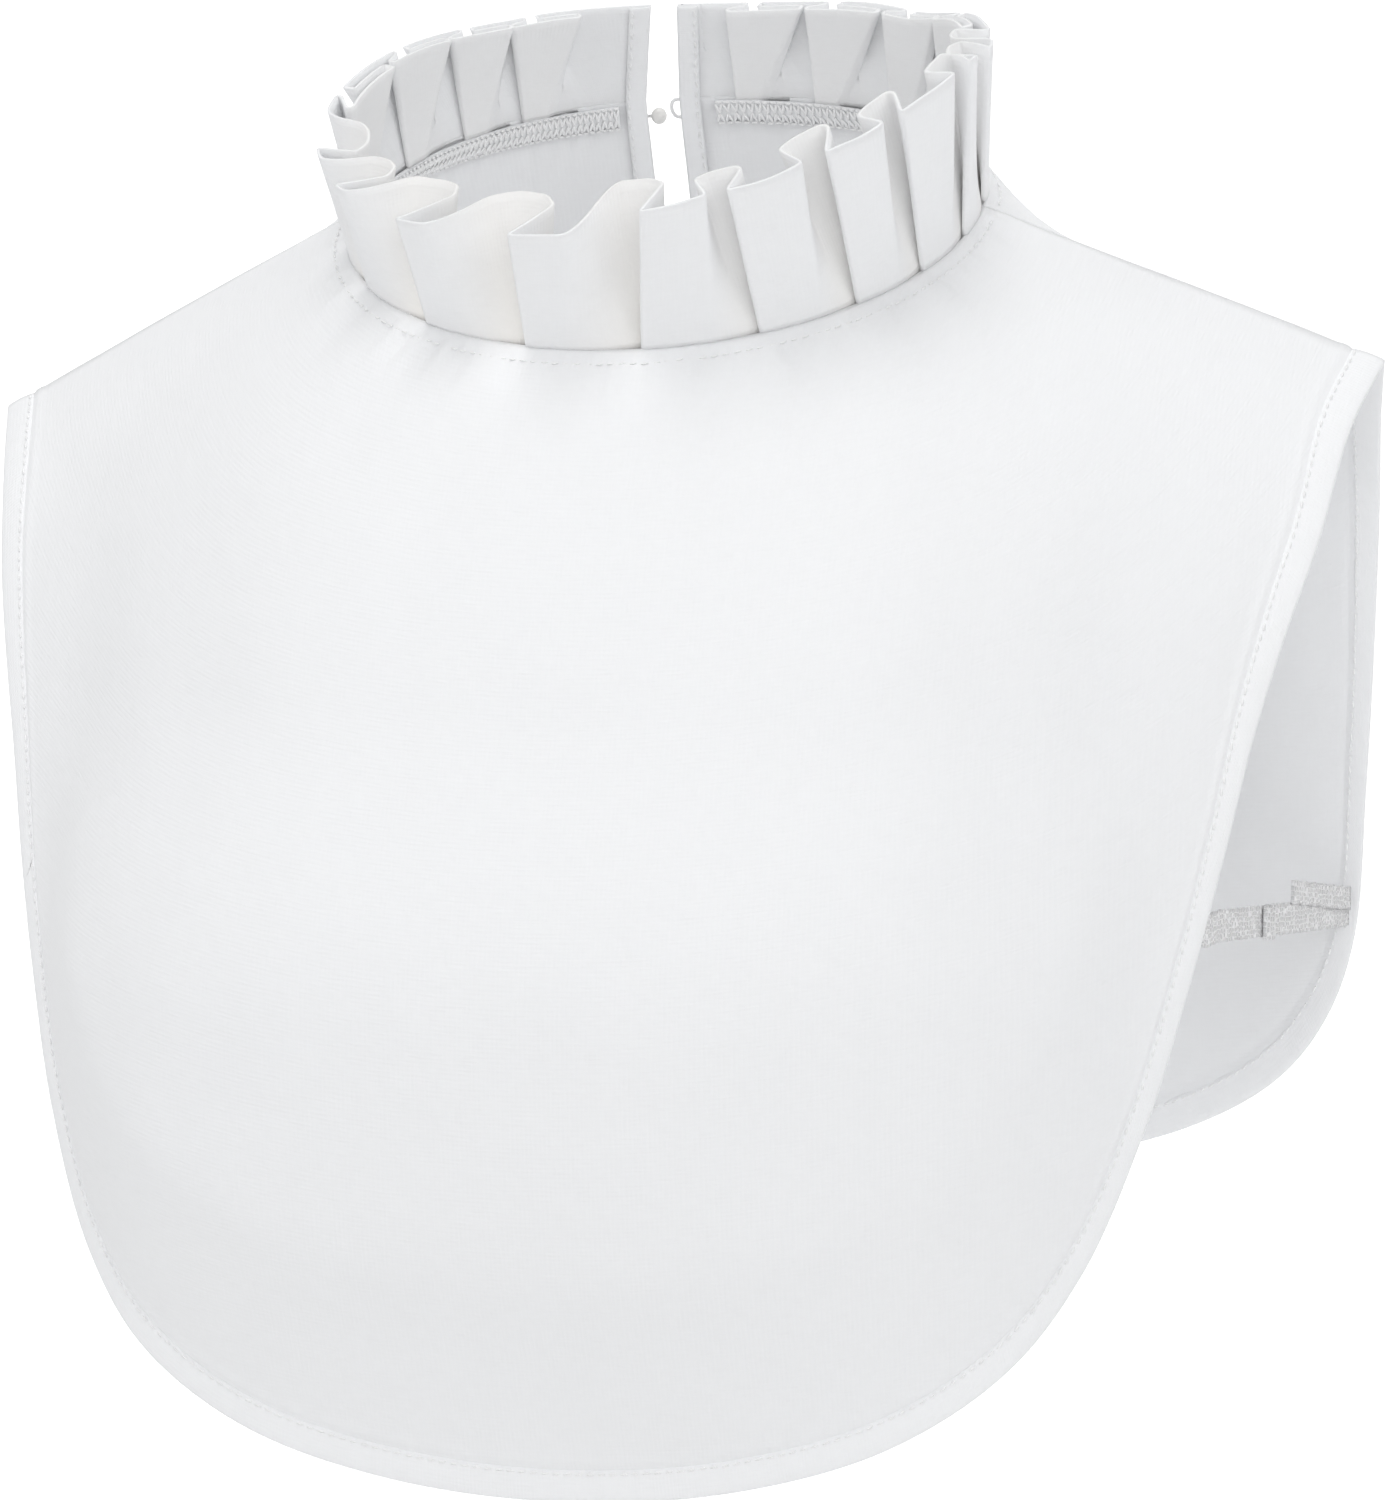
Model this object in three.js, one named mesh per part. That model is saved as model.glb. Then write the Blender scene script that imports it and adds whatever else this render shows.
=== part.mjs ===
// A dickey: a sleeveless false blouse front of fine white cotton, filled out as if worn.
// Millimetres, +Z up, the front faces -Y. The origin is the middle of the neck seam, where the wearer holds it.
import * as THREE from "three";

// Cloth
const WALL = 1.2; // the panels' wall
const GAP = 0.3; // between pieces that are sewn together

// Neck seam: an ellipse in a plane that leans forward, a little lower at the back than that plane
const NECK = { halfWide: 74.5, halfDeep: 63.8, lean: 27.9, backDrop: 5 };

// Panels: fan-shaped grids from the neck seam to the outer edge
const FRONT_ACROSS = 48;
const BACK_ACROSS_EACH = 23;
const DOWN = 11;
// How far a column swells out from the straight line between seam and edge.
// A peak under 1 brings the fullest place nearer the neck.
const FRONT_SWELL = { shoulder: 0.5, centre: 33, power: 1.2, peak: 0.8, aside: 0.45 };
const BACK_SWELL = { shoulder: 0.5, centre: 24, power: 1.9, peak: 0.95, aside: 0 };
// It hangs a little lower on its left shoulder, and level from this far down
const HANG = { tilt: 0.038, levelDown: 300 };

// Outer edge of the front, from the shoulder tip to the middle of the hem
const FRONT_EDGE = [
  { half: 165, fore: -8, down: 41 },
  { half: 160, fore: 9, down: 55 },
  { half: 155.5, fore: 24, down: 78 },
  { half: 150, fore: 37, down: 98 },
  { half: 145, fore: 47, down: 118 },
  { half: 140, fore: 57, down: 143 },
  { half: 134, fore: 67, down: 170 },
  { half: 126, fore: 78, down: 200 },
  { half: 114, fore: 89, down: 230 },
  { half: 99, fore: 97, down: 250 },
  { half: 74, fore: 102, down: 266.5 },
  { half: 40, fore: 103, down: 277 },
  { half: 0, fore: 102, down: 281 },
];

// Outer edge of the back, the same way; aft is behind the neck's middle
const BACK_EDGE = [
  { half: 165, aft: 8, down: 41 },
  { half: 161.5, aft: 24, down: 55 },
  { half: 159, aft: 37, down: 75 },
  { half: 156.5, aft: 43, down: 110 },
  { half: 154, aft: 46, down: 142 },
  { half: 151, aft: 48, down: 174 },
  { half: 144, aft: 52, down: 193 },
  { half: 131, aft: 58, down: 209 },
  { half: 108, aft: 65, down: 222 },
  { half: 70, aft: 72, down: 232 },
  { half: 35, aft: 75, down: 236 },
  { half: 0, aft: 76, down: 237 },
];

// Back slit
const SLIT = { middle: -15.5, halfWide: 4, rows: 4 };

// Bound edges
const BINDING = { wide: 7, thick: 1 };

// Ruffle: a doubled strip in knife pleats, each a row of the table
const RUFFLE = { thick: 1, layer: 1.45, rows: 5, lift: 0.2 };
const RUFFLE_FLARE = { left: 3, right: 6, backShare: 0.4 };
// at: degrees round the neck, from +X by way of the back
const RUFFLE_TALL = [
  { at: 0, tall: 39.5 },
  { at: 22, tall: 34 },
  { at: 50, tall: 26.5 },
  { at: 90, tall: 23.5 },
  { at: 125, tall: 25 },
  { at: 155, tall: 27 },
  { at: 195, tall: 26 },
  { at: 225, tall: 28 },
  { at: 256, tall: 31 },
  { at: 277, tall: 37 },
  { at: 298, tall: 39.7 },
  { at: 317, tall: 43 },
  { at: 335, tall: 45 },
  { at: 350, tall: 44 },
  { at: 360, tall: 39.5 },
];
// at: degrees round the neck, from +X by way of the back, of the outer fold
// tuck: how far the inner fold runs on under the next pleat at the top
// deep: how far in that fold lies at the top; roll: 1 a soft roll, 0 a pressed edge
// lean: how far the outer fold's top lies along from its foot
const PLEATS = [
  { at: 111, tuck: 4, deep: 4, roll: 0, lean: 0 },
  { at: 125, tuck: 4, deep: 4, roll: 0, lean: 0 },
  { at: 138, tuck: 4, deep: 4.5, roll: 0, lean: 0 },
  { at: 154, tuck: 5, deep: 6, roll: 0, lean: 0 },
  { at: 174, tuck: 6, deep: 9, roll: 1, lean: 0 },
  { at: 195, tuck: 8, deep: 10, roll: 1, lean: 0 },
  { at: 213, tuck: 9, deep: 12, roll: 1, lean: 0 },
  { at: 234, tuck: 10, deep: 13, roll: 1, lean: 0 },
  { at: 256, tuck: 6, deep: 12, roll: 1, lean: 2.3 },
  { at: 277, tuck: 4, deep: 10, roll: 0, lean: 5 },
  { at: 298, tuck: 5, deep: 11, roll: 0, lean: -3.4 },
  { at: 317, tuck: 4, deep: 9, roll: 0, lean: -5 },
  { at: 333, tuck: 4, deep: 8, roll: 0, lean: -5 },
  { at: 348, tuck: 4, deep: 8, roll: 1, lean: 2 },
  { at: 362, tuck: 4, deep: 7, roll: 1, lean: 0 },
  { at: 377, tuck: 4, deep: 5, roll: 0, lean: 0 },
  { at: 393, tuck: 4, deep: 4, roll: 0, lean: 0 },
  { at: 410, tuck: 4, deep: 4, roll: 0, lean: 0 },
  { at: 428, tuck: 4, deep: 4, roll: 0, lean: 0 },
  { at: 444, tuck: 4, deep: 4, roll: 0, lean: 0 },
];
const BASE_TUCK = 5; // the same fold at the seam
const BASE_TURN = 2.5; // how far before the next pleat it turns under there
const FOLD_BACK = 0.6; // how far an outer fold stands proud of its under layer at the top
const RUFFLE_SLIT = { halfWide: 3, lean: 3.5 }; // the slit at the ruffle's top edge, and how far it leans to +X

// Seam allowance inside the neck, placket bands, fastening
const TAPE = { below: 0.6, wide: 5, thick: 1, pieces: 16 };
const PLACKET = { wide: 5, thick: 1, clear: 1 };
const BUTTON = { radius: 2.1, above: -4.5 };
const LOOP = { reach: 1.6, half: 2.4, radius: 0.45, above: -3 };

// Elastics below the armholes
const STRAP = { wide: 7, thick: 1.2, frontDown: 158, backDown: 168, tucked: 12, steps: 16 };
// Its distance from a binding: inside the panel, and where it passes the edge
const STRAP_CLEAR = { inside: 0.6, edge: 1.8 };
const TAUT = [0.12, 0.88]; // it runs straight between these shares of its free length
const STRAP_JOINT = { from: 0.45, to: 0.51, thick: 1 };
const STRAP_TAB = { from: 0.57, to: 0.71, wide: 5, above: 0.6 };

const V = (x, y, z) => new THREE.Vector3(x, y, z);
const mix = THREE.MathUtils.lerp;
const rad = THREE.MathUtils.degToRad;

// The direction in which the ruffle stands, square to the neck plane
const NECK_AXIS = V(0, -Math.sin(rad(NECK.lean)), Math.cos(rad(NECK.lean)));

function neckPoint(degrees) {
  const t = rad(degrees);
  const deep = NECK.halfDeep * Math.sin(t);
  return V(
    NECK.halfWide * Math.cos(t),
    deep * Math.cos(rad(NECK.lean)),
    deep * Math.sin(rad(NECK.lean)) - NECK.backDrop * Math.max(0, Math.sin(t)) ** 2,
  );
}

// Straight out from the neck seam, in its plane
function neckOut(degrees) {
  const t = rad(degrees);
  const across = Math.cos(t) / NECK.halfWide;
  const deep = Math.sin(t) / NECK.halfDeep;
  return V(across, deep * Math.cos(rad(NECK.lean)), deep * Math.sin(rad(NECK.lean))).normalize();
}

// A panel's whole outer edge, left tip to right tip, from its half table
function edgeCurve(half) {
  const hung = (p, side) => {
    const tilt = HANG.tilt * (1 + p.z / HANG.levelDown);
    return V(side * p.x, p.y, p.z + side * p.x * tilt);
  };
  const left = half.map((p) => hung(p, -1));
  const right = half.slice(0, -1).reverse().map((p) => hung(p, 1));
  return new THREE.CatmullRomCurve3([...left, ...right], false, "centripetal");
}
const frontEdge = edgeCurve(FRONT_EDGE.map((r) => V(r.half, -r.fore, -r.down)));
const backEdge = edgeCurve(BACK_EDGE.map((r) => V(r.half, r.aft, -r.down)));

// One column of a panel: a swollen line from the neck seam to the outer edge
function column(neckDegrees, edge, edgeShare, swell, facing) {
  const share = Math.sin(edgeShare * Math.PI);
  const side = edgeShare < 0.5 ? -1 : 1;
  const quarter = Math.sin(2 * Math.PI * Math.min(edgeShare, 1 - edgeShare));
  const out = V(side * swell.aside * quarter, facing * (0.15 + share), 0).normalize();
  const amount = mix(swell.shoulder, swell.centre, Math.pow(share, swell.power));
  const from = neckPoint(neckDegrees);
  const to = edge.getPointAt(edgeShare);
  return (down) =>
    from
      .clone()
      .lerp(to, down)
      .addScaledVector(out, amount * Math.sin(Math.PI * Math.pow(down, swell.peak)));
}

const frontColumn = (share) =>
  column(180 + 180 * share, frontEdge, share, FRONT_SWELL, -1);

// The share of the back's edge at which it crosses a given place across
function backShareAt(x) {
  let low = 0.3;
  let high = 0.7;
  for (let i = 0; i < 40; i++) {
    const middle = (low + high) / 2;
    if (backEdge.getPointAt(middle).x < x) low = middle;
    else high = middle;
  }
  return low;
}
const slitEdge = (side) => SLIT.middle + side * SLIT.halfWide;
const slitDegrees = (side) => THREE.MathUtils.radToDeg(Math.acos(slitEdge(side) / NECK.halfWide));

// side -1 is the left half; share 0 is the shoulder and 1 the slit
function backColumn(side, share) {
  const shoulder = side < 0 ? 180 : 0;
  const shoulderShare = side < 0 ? 0 : 1;
  const edgeShare = mix(shoulderShare, backShareAt(slitEdge(side)), share);
  return column(mix(shoulder, slitDegrees(side), share), backEdge, edgeShare, BACK_SWELL, 1);
}

const rows = (count) => Array.from({ length: count + 1 }, (_, i) => i / count);

// A grid is a list of columns, each a list of points from the neck down.
// The last row of cells is as wide as the binding.
function gridLine(make) {
  const bound = 1 - BINDING.wide / make(0).distanceTo(make(1));
  return [...rows(DOWN - 1).map((down) => make(down * bound)), make(1)];
}
const frontGrid = rows(FRONT_ACROSS).map((s) => gridLine(frontColumn(s)));
const backHalf = (side) => rows(BACK_ACROSS_EACH).map((s) => gridLine(backColumn(side, s)));
const backGrid = [...backHalf(-1), ...backHalf(1).reverse()];

// The outward normal at each grid point. At a shoulder it lies in the shoulder line's upright plane.
function normals(grid, facing, shoulders = true) {
  const last = grid.length - 1;
  return grid.map((line, i) =>
    line.map((p, j) => {
      const a = grid[Math.max(i - 1, 0)][j];
      const b = grid[Math.min(i + 1, last)][j];
      const c = line[Math.max(j - 1, 0)];
      const d = line[Math.min(j + 1, line.length - 1)];
      const along = d.clone().sub(c);
      if (shoulders && (i === 0 || i === last)) {
        const n = along.clone().cross(V(0, 1, 0)).normalize();
        return n.z < 0 ? n.negate() : n;
      }
      return b.clone().sub(a).cross(along).multiplyScalar(facing).normalize();
    }),
  );
}

function shifted(grid, directions, by) {
  return grid.map((line, i) => line.map((p, j) => p.clone().addScaledVector(directions[i][j], by)));
}

// A closed body between two grids of one layout, without the cells that missing names
function between(outer, inner, missing = () => false) {
  const across = outer.length;
  const down = outer[0].length;
  const points = [...outer.flat(), ...inner.flat()];
  const o = (i, j) => i * down + j;
  const n = (i, j) => across * down + o(i, j);
  const there = (i, j) => i >= 0 && j >= 0 && i < across - 1 && j < down - 1 && !missing(i, j);
  const index = [];
  const quad = (a, b, c, d) => index.push(a, b, c, a, c, d);
  for (let i = 0; i < across - 1; i++) {
    for (let j = 0; j < down - 1; j++) {
      if (!there(i, j)) continue;
      quad(o(i, j), o(i, j + 1), o(i + 1, j + 1), o(i + 1, j));
      quad(n(i, j), n(i + 1, j), n(i + 1, j + 1), n(i, j + 1));
      if (!there(i - 1, j)) quad(o(i, j), n(i, j), n(i, j + 1), o(i, j + 1));
      if (!there(i + 1, j)) quad(o(i + 1, j), o(i + 1, j + 1), n(i + 1, j + 1), n(i + 1, j));
      if (!there(i, j - 1)) quad(o(i, j), o(i + 1, j), n(i + 1, j), n(i, j));
      if (!there(i, j + 1)) quad(o(i, j + 1), n(i, j + 1), n(i + 1, j + 1), o(i + 1, j + 1));
    }
  }
  return outward(points, index);
}

// A closed body through sections, each a ring of points in one layout
function through(sections) {
  const size = sections[0].length;
  const index = [];
  for (let s = 0; s < sections.length - 1; s++) {
    for (let i = 0; i < size; i++) {
      const a = s * size + i;
      const b = s * size + ((i + 1) % size);
      index.push(a, b, b + size, a, b + size, a + size);
    }
  }
  // End caps of a U section are strips between its two legs
  const cap = (first, flip) => {
    for (let i = 0; i < size / 2 - 1; i++) {
      const [a, b, c, d] = [i, i + 1, size - 2 - i, size - 1 - i].map((k) => first + k);
      if (flip) index.push(a, c, b, a, d, c);
      else index.push(a, b, c, a, c, d);
    }
  };
  cap(0, true);
  cap((sections.length - 1) * size, false);
  return outward(sections.flat(), index);
}

// Turns the faces so that they point out
function outward(points, index) {
  let volume = 0;
  for (let t = 0; t < index.length; t += 3) {
    const [a, b, c] = [0, 1, 2].map((k) => points[index[t + k]]);
    volume += a.dot(b.clone().cross(c));
  }
  if (volume < 0) {
    for (let t = 0; t < index.length; t += 3) [index[t], index[t + 1]] = [index[t + 1], index[t]];
  }
  const geometry = new THREE.BufferGeometry().setFromPoints(points);
  geometry.setIndex(index);
  geometry.computeVertexNormals();
  return geometry;
}

const frontNormals = normals(frontGrid, -1);
const backNormals = normals(backGrid, 1);
const SLIT_CELL = BACK_ACROSS_EACH;
const inSlit = (i, j) => i === SLIT_CELL && j < SLIT.rows;

// Front and back panels meet at the shoulder line, half a gap each side of it
const apart = (grid, facing) => grid.map((line) => line.map((p) => p.clone().add(V(0, (facing * GAP) / 2, 0))));

function panel(grid, directions, facing, missing) {
  const outer = apart(grid, facing);
  return between(outer, shifted(outer, directions, -WALL), missing);
}

// The binding folds round a panel's edge: a U section at each column
function binding(grid, directions, facing) {
  const near = GAP;
  const far = GAP + BINDING.thick;
  const sections = apart(grid, facing).map((line, i) => {
    const past = line[DOWN].clone().sub(line[DOWN - 1]).normalize();
    const inner = (out) => line[DOWN - 1].clone().addScaledVector(directions[i][DOWN - 1], out);
    const rim = (beyond, out) =>
      line[DOWN].clone().addScaledVector(past, beyond).addScaledVector(directions[i][DOWN], out);
    return [
      inner(far),
      rim(far, far),
      rim(far, -WALL - far),
      inner(-WALL - far),
      inner(-WALL - near),
      rim(near, -WALL - near),
      rim(near, near),
      inner(near),
    ];
  });
  return through(sections);
}

// Arc length round the neck seam, as a function from degrees to millimetres and back
const NECK_STEP = 0.5;
const neckLengths = [0];
for (let a = NECK_STEP; a <= 540; a += NECK_STEP) {
  const step = neckPoint(a).distanceTo(neckPoint(a - NECK_STEP));
  neckLengths.push(neckLengths[neckLengths.length - 1] + step);
}
function neckLength(degrees) {
  const i = Math.floor(degrees / NECK_STEP);
  return mix(neckLengths[i], neckLengths[i + 1], degrees / NECK_STEP - i);
}
function neckDegrees(length) {
  let i = 0;
  while (neckLengths[i + 1] < length) i++;
  return NECK_STEP * (i + (length - neckLengths[i]) / (neckLengths[i + 1] - neckLengths[i]));
}

// Height from the table, eased between its rows
function ruffleHeight(degrees) {
  const at = degrees % 360;
  const i = RUFFLE_TALL.findIndex((row) => row.at > at);
  const [low, high] = [RUFFLE_TALL[i - 1], RUFFLE_TALL[i]];
  return mix(low.tall, high.tall, THREE.MathUtils.smoothstep(at, low.at, high.at));
}
function ruffleFlare(degrees) {
  const flare = mix(RUFFLE_FLARE.left, RUFFLE_FLARE.right, (1 + Math.cos(rad(degrees))) / 2);
  return flare * mix(1, RUFFLE_FLARE.backShare, Math.max(0, Math.sin(rad(degrees))));
}

// One pleat's plan at the seam and at the top: pairs of along and out, from its outer fold on
function pleatPlan(pitch, topPitch, pleat) {
  const half = RUFFLE.layer / 2;
  const under = -2 * RUFFLE.layer;
  const base = [
    [0, -RUFFLE.layer],
    [0, 0],
    [0.3 * pitch, 0],
    [0.6 * pitch, -0.3],
    [pitch - BASE_TURN, -0.75 * RUFFLE.layer],
    [pitch, under],
    [pitch + BASE_TUCK, under],
    [pitch + BASE_TUCK, -RUFFLE.layer],
  ];
  const soft = [
    [FOLD_BACK, -RUFFLE.layer],
    [0, 0],
    [0.32 * topPitch, -0.4],
    [0.58 * topPitch, -1.6],
    [0.78 * topPitch, -0.5 * pleat.deep],
    [topPitch, -0.94 * pleat.deep],
    [topPitch + pleat.tuck, -pleat.deep],
    [topPitch + pleat.tuck + half, -pleat.deep + RUFFLE.layer],
  ];
  const pressed = [
    [FOLD_BACK, -RUFFLE.layer],
    [0, 0],
    [0.4 * topPitch, 0],
    [0.76 * topPitch, -0.6],
    [0.66 * topPitch, -0.9 * pleat.deep],
    [0.85 * topPitch, -pleat.deep],
    [topPitch + pleat.tuck, -pleat.deep],
    [topPitch + pleat.tuck + half, -pleat.deep + RUFFLE.layer],
  ];
  return { base, top: pleat.roll ? soft : pressed };
}

// The ruffle's centreline plan, as along and out at the seam and at the top
const ruffleStart = neckLength(slitDegrees(-1));
const ruffleEnd = neckLength(360 + slitDegrees(1));
const slitSpread = SLIT.halfWide - RUFFLE_SLIT.halfWide;
const ruffleStartTop = ruffleStart - slitSpread - RUFFLE_SLIT.lean;
const ruffleEndTop = ruffleEnd + slitSpread - RUFFLE_SLIT.lean;

function rufflePlan() {
  const plan = [{ base: [ruffleStart, 0], top: [ruffleStartTop, 0] }];
  PLEATS.forEach((pleat, k) => {
    const here = neckLength(pleat.at);
    const next = k + 1 < PLEATS.length ? neckLength(PLEATS[k + 1].at) : ruffleEnd;
    const nextLean = k + 1 < PLEATS.length ? PLEATS[k + 1].lean : 0;
    const { base, top } = pleatPlan(next - here, next + nextLean - here - pleat.lean, pleat);
    const count = k + 1 < PLEATS.length ? base.length : 3;
    for (let i = 0; i < count; i++) {
      plan.push({ base: [here + base[i][0], base[i][1]], top: [here + pleat.lean + top[i][0], top[i][1]] });
    }
  });
  const flush = PLACKET.wide + PLACKET.clear;
  plan.push({ base: [ruffleEnd - flush, 0], top: [ruffleEndTop - flush, 0] });
  plan.push({ base: [ruffleEnd, 0], top: [ruffleEndTop, 0] });
  // The first pleat has nothing before it to come from, so it starts flush
  plan.splice(1, 1);
  return plan;
}

const flat = (p) => new THREE.Vector2(p[0], p[1]);

// Half a wall to each side of a plan line, with mitred corners
function sideLines(line, half) {
  return [1, -1].map((side) =>
    line.map((p, i) => {
      const a = line[Math.max(i - 1, 0)];
      const b = line[Math.min(i + 1, line.length - 1)];
      const first = p.clone().sub(a).normalize();
      const second = b.clone().sub(p).normalize();
      const n1 = new THREE.Vector2(-first.y, first.x);
      const n2 = new THREE.Vector2(-second.y, second.x);
      if (i === 0) n1.copy(n2);
      if (i === line.length - 1) n2.copy(n1);
      const n = n1.clone().add(n2).normalize();
      const stretch = Math.min(1 / Math.max(n.dot(n1), 0.1), 1.5);
      return p.clone().addScaledVector(n, side * half * stretch);
    }),
  );
}

function rufflePoint(p, share) {
  const degrees = neckDegrees(p.x);
  const height = GAP + RUFFLE.lift + share * ruffleHeight(degrees);
  return neckPoint(degrees)
    .addScaledVector(neckOut(degrees), p.y + ruffleFlare(degrees) * share)
    .addScaledVector(NECK_AXIS, height);
}

function ruffle() {
  const plan = rufflePlan();
  const levels = rows(RUFFLE.rows).reverse().map((share) => {
    const line = plan.map((p) => flat(p.base).lerp(flat(p.top), share));
    return sideLines(line, RUFFLE.thick / 2).map((side) => side.map((p) => rufflePoint(p, share)));
  });
  const turned = (side) => plan.map((_, i) => levels.map((level) => level[side][i]));
  return between(turned(0), turned(1));
}

// The seam allowance lies inside the neck, just below the seam, and stops at the plackets
function neckTape() {
  const clear = 1 - (PLACKET.wide + PLACKET.clear) / (neckLength(180) - neckLength(slitDegrees(-1)));
  const half = (side) => rows(TAPE.pieces).map((s) => backColumn(side, s * clear));
  const front = rows(2 * TAPE.pieces).slice(1, -1).map(frontColumn);
  const columns = [...half(-1).reverse(), ...front, ...half(1)];
  const grid = columns.map((make) => {
    const long = make(0).distanceTo(make(1));
    const top = make(0);
    const down = make(TAPE.wide / long).sub(top).normalize();
    return [TAPE.below, TAPE.below + TAPE.wide].map((by) => top.clone().addScaledVector(down, by));
  });
  const directions = normals(grid, -1, false);
  const depth = WALL + 3 * GAP;
  return between(shifted(grid, directions, -depth), shifted(grid, directions, -depth - TAPE.thick));
}

// A band down one edge of the slit, inside: first on the ruffle's end, then on the back panel
function placket(side) {
  const columnAt = side < 0 ? SLIT_CELL : SLIT_CELL + 1;
  const [from, to] = side < 0 ? [ruffleStart, ruffleStartTop] : [ruffleEnd, ruffleEndTop];
  const bandDepth = RUFFLE.thick / 2 + GAP;
  const onRuffle = (share, depth) =>
    [0, -side * PLACKET.wide].map((by) => {
      const along = mix(from, to, share) + by;
      return rufflePoint(new THREE.Vector2(along, -depth), share);
    });
  const onPanel = (j, depth) => {
    const edge = backGrid[columnAt][j];
    const beside = backGrid[columnAt + side][j].clone().sub(edge).normalize();
    return [0, PLACKET.wide].map((by) =>
      edge.clone().addScaledVector(beside, by).addScaledVector(backNormals[columnAt][j], -depth),
    );
  };
  const layer = (extra) => {
    const above = [1, 0.75, 0.5, 0.25, 0.1].map((share) => onRuffle(share, bandDepth + extra));
    const below = rows(SLIT.rows).map((_, j) => onPanel(j, WALL + 2 * GAP + extra));
    return [...above, ...below];
  };
  return between(layer(0), layer(PLACKET.thick));
}

function button() {
  const geometry = new THREE.SphereGeometry(BUTTON.radius, 16, 10);
  const edge = neckPoint(slitDegrees(-1)).addScaledVector(NECK_AXIS, BUTTON.above);
  return geometry.translate(edge.x + BUTTON.radius + 2 * GAP, edge.y, edge.z);
}

function buttonLoop() {
  const edge = neckPoint(slitDegrees(1)).addScaledVector(NECK_AXIS, LOOP.above);
  const bend = rows(8).map((s) => {
    const t = Math.PI * (s - 0.5);
    return edge
      .clone()
      .add(V(-GAP - LOOP.radius - LOOP.reach * Math.cos(t), 0, 0))
      .addScaledVector(NECK_AXIS, LOOP.half * Math.sin(t));
  });
  const section = new THREE.Shape();
  section.absarc(0, 0, LOOP.radius, 0, 2 * Math.PI);
  return new THREE.ExtrudeGeometry(section, {
    steps: 12,
    curveSegments: 6,
    extrudePath: new THREE.CatmullRomCurve3(bend),
  });
}

// The place along a panel's edge, on one side, that lies a given distance down
function shareDown(edge, side, down) {
  let [tip, hem] = side < 0 ? [0, 0.5] : [1, 0.5];
  for (let i = 0; i < 40; i++) {
    const middle = (tip + hem) / 2;
    if (-edge.getPointAt(middle).z < down) tip = middle;
    else hem = middle;
  }
  return tip;
}

// Inside a panel's edge, clear of its binding: first away from the edge, then at it
function strapEnd(make, nextMake, turn) {
  const depth = WALL + 3 * GAP + BINDING.thick + STRAP.thick / 2;
  const long = make(0).distanceTo(make(1));
  const places = [
    { down: 1 - STRAP.tucked / long, clear: STRAP_CLEAR.inside },
    { down: 1, clear: STRAP_CLEAR.edge },
  ];
  return places.map(({ down, clear }) => {
    const along = make(down).sub(make(down - 0.02));
    const n = nextMake(down).sub(make(down)).cross(along).normalize().multiplyScalar(turn);
    return make(down).addScaledVector(n, -depth - clear);
  });
}

function strapRoute(side) {
  const f = shareDown(frontEdge, side, STRAP.frontDown);
  const b = shareDown(backEdge, side, STRAP.backDown);
  const backShare = (share) => {
    const slitShare = backShareAt(slitEdge(side));
    return side < 0 ? share / slitShare : (1 - share) / (1 - slitShare);
  };
  const step = 0.01;
  const front = strapEnd(frontColumn(f), frontColumn(f + step), -1);
  const back = strapEnd(backColumn(side, backShare(b)), backColumn(side, backShare(b + step)), 1);
  // Taut between the two edges
  const taut = TAUT.map((share) => front[1].clone().lerp(back[1], share));
  return new THREE.CatmullRomCurve3([...front, ...taut, ...back.reverse()], false, "centripetal");
}

// A flat band along part of a strap's route, moved outward and up from its middle
function band(route, side, from, to, size) {
  const sections = rows(size.steps).map((s) => {
    const at = mix(from, to, s);
    const middle = route.getPointAt(at);
    const along = route.getTangentAt(at);
    const out = along.clone().cross(V(0, 0, 1)).multiplyScalar(side).normalize();
    const up = out.clone().cross(along).multiplyScalar(side).normalize();
    const corner = (o, u) =>
      middle.clone().addScaledVector(out, size.out + o * size.thick).addScaledVector(up, size.up + u * size.wide);
    return [corner(-0.5, -0.5), corner(0.5, -0.5), corner(0.5, 0.5), corner(-0.5, 0.5)];
  });
  return through(sections);
}
const strap = (route, side) => band(route, side, 0, 1, { ...STRAP, out: 0, up: 0 });
const strapJoint = (route, side) =>
  band(route, side, STRAP_JOINT.from, STRAP_JOINT.to, {
    wide: STRAP.wide,
    thick: STRAP_JOINT.thick,
    steps: 2,
    out: STRAP.thick / 2 + GAP + STRAP_JOINT.thick / 2,
    up: 0,
  });
const strapTab = (route, side) =>
  band(route, side, STRAP_TAB.from, STRAP_TAB.to, {
    wide: STRAP_TAB.wide,
    thick: STRAP.thick,
    steps: 3,
    out: 0,
    up: (STRAP.wide + STRAP_TAB.wide) / 2 + STRAP_TAB.above,
  });

const finish = (color, roughness) => () =>
  new THREE.MeshStandardMaterial({ color, roughness, metalness: 0 });
const cotton = finish(0xf2f2f2, 0.9);
const elastic = finish(0xe9e9e6, 0.85);
const thread = finish(0xf4f4f2, 0.7);
const pearl = finish(0xf3f1ec, 0.3);

const dickey = new THREE.Group();
function add(name, geometry, material) {
  const mesh = new THREE.Mesh(geometry, material);
  mesh.name = name;
  dickey.add(mesh);
}

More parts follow.
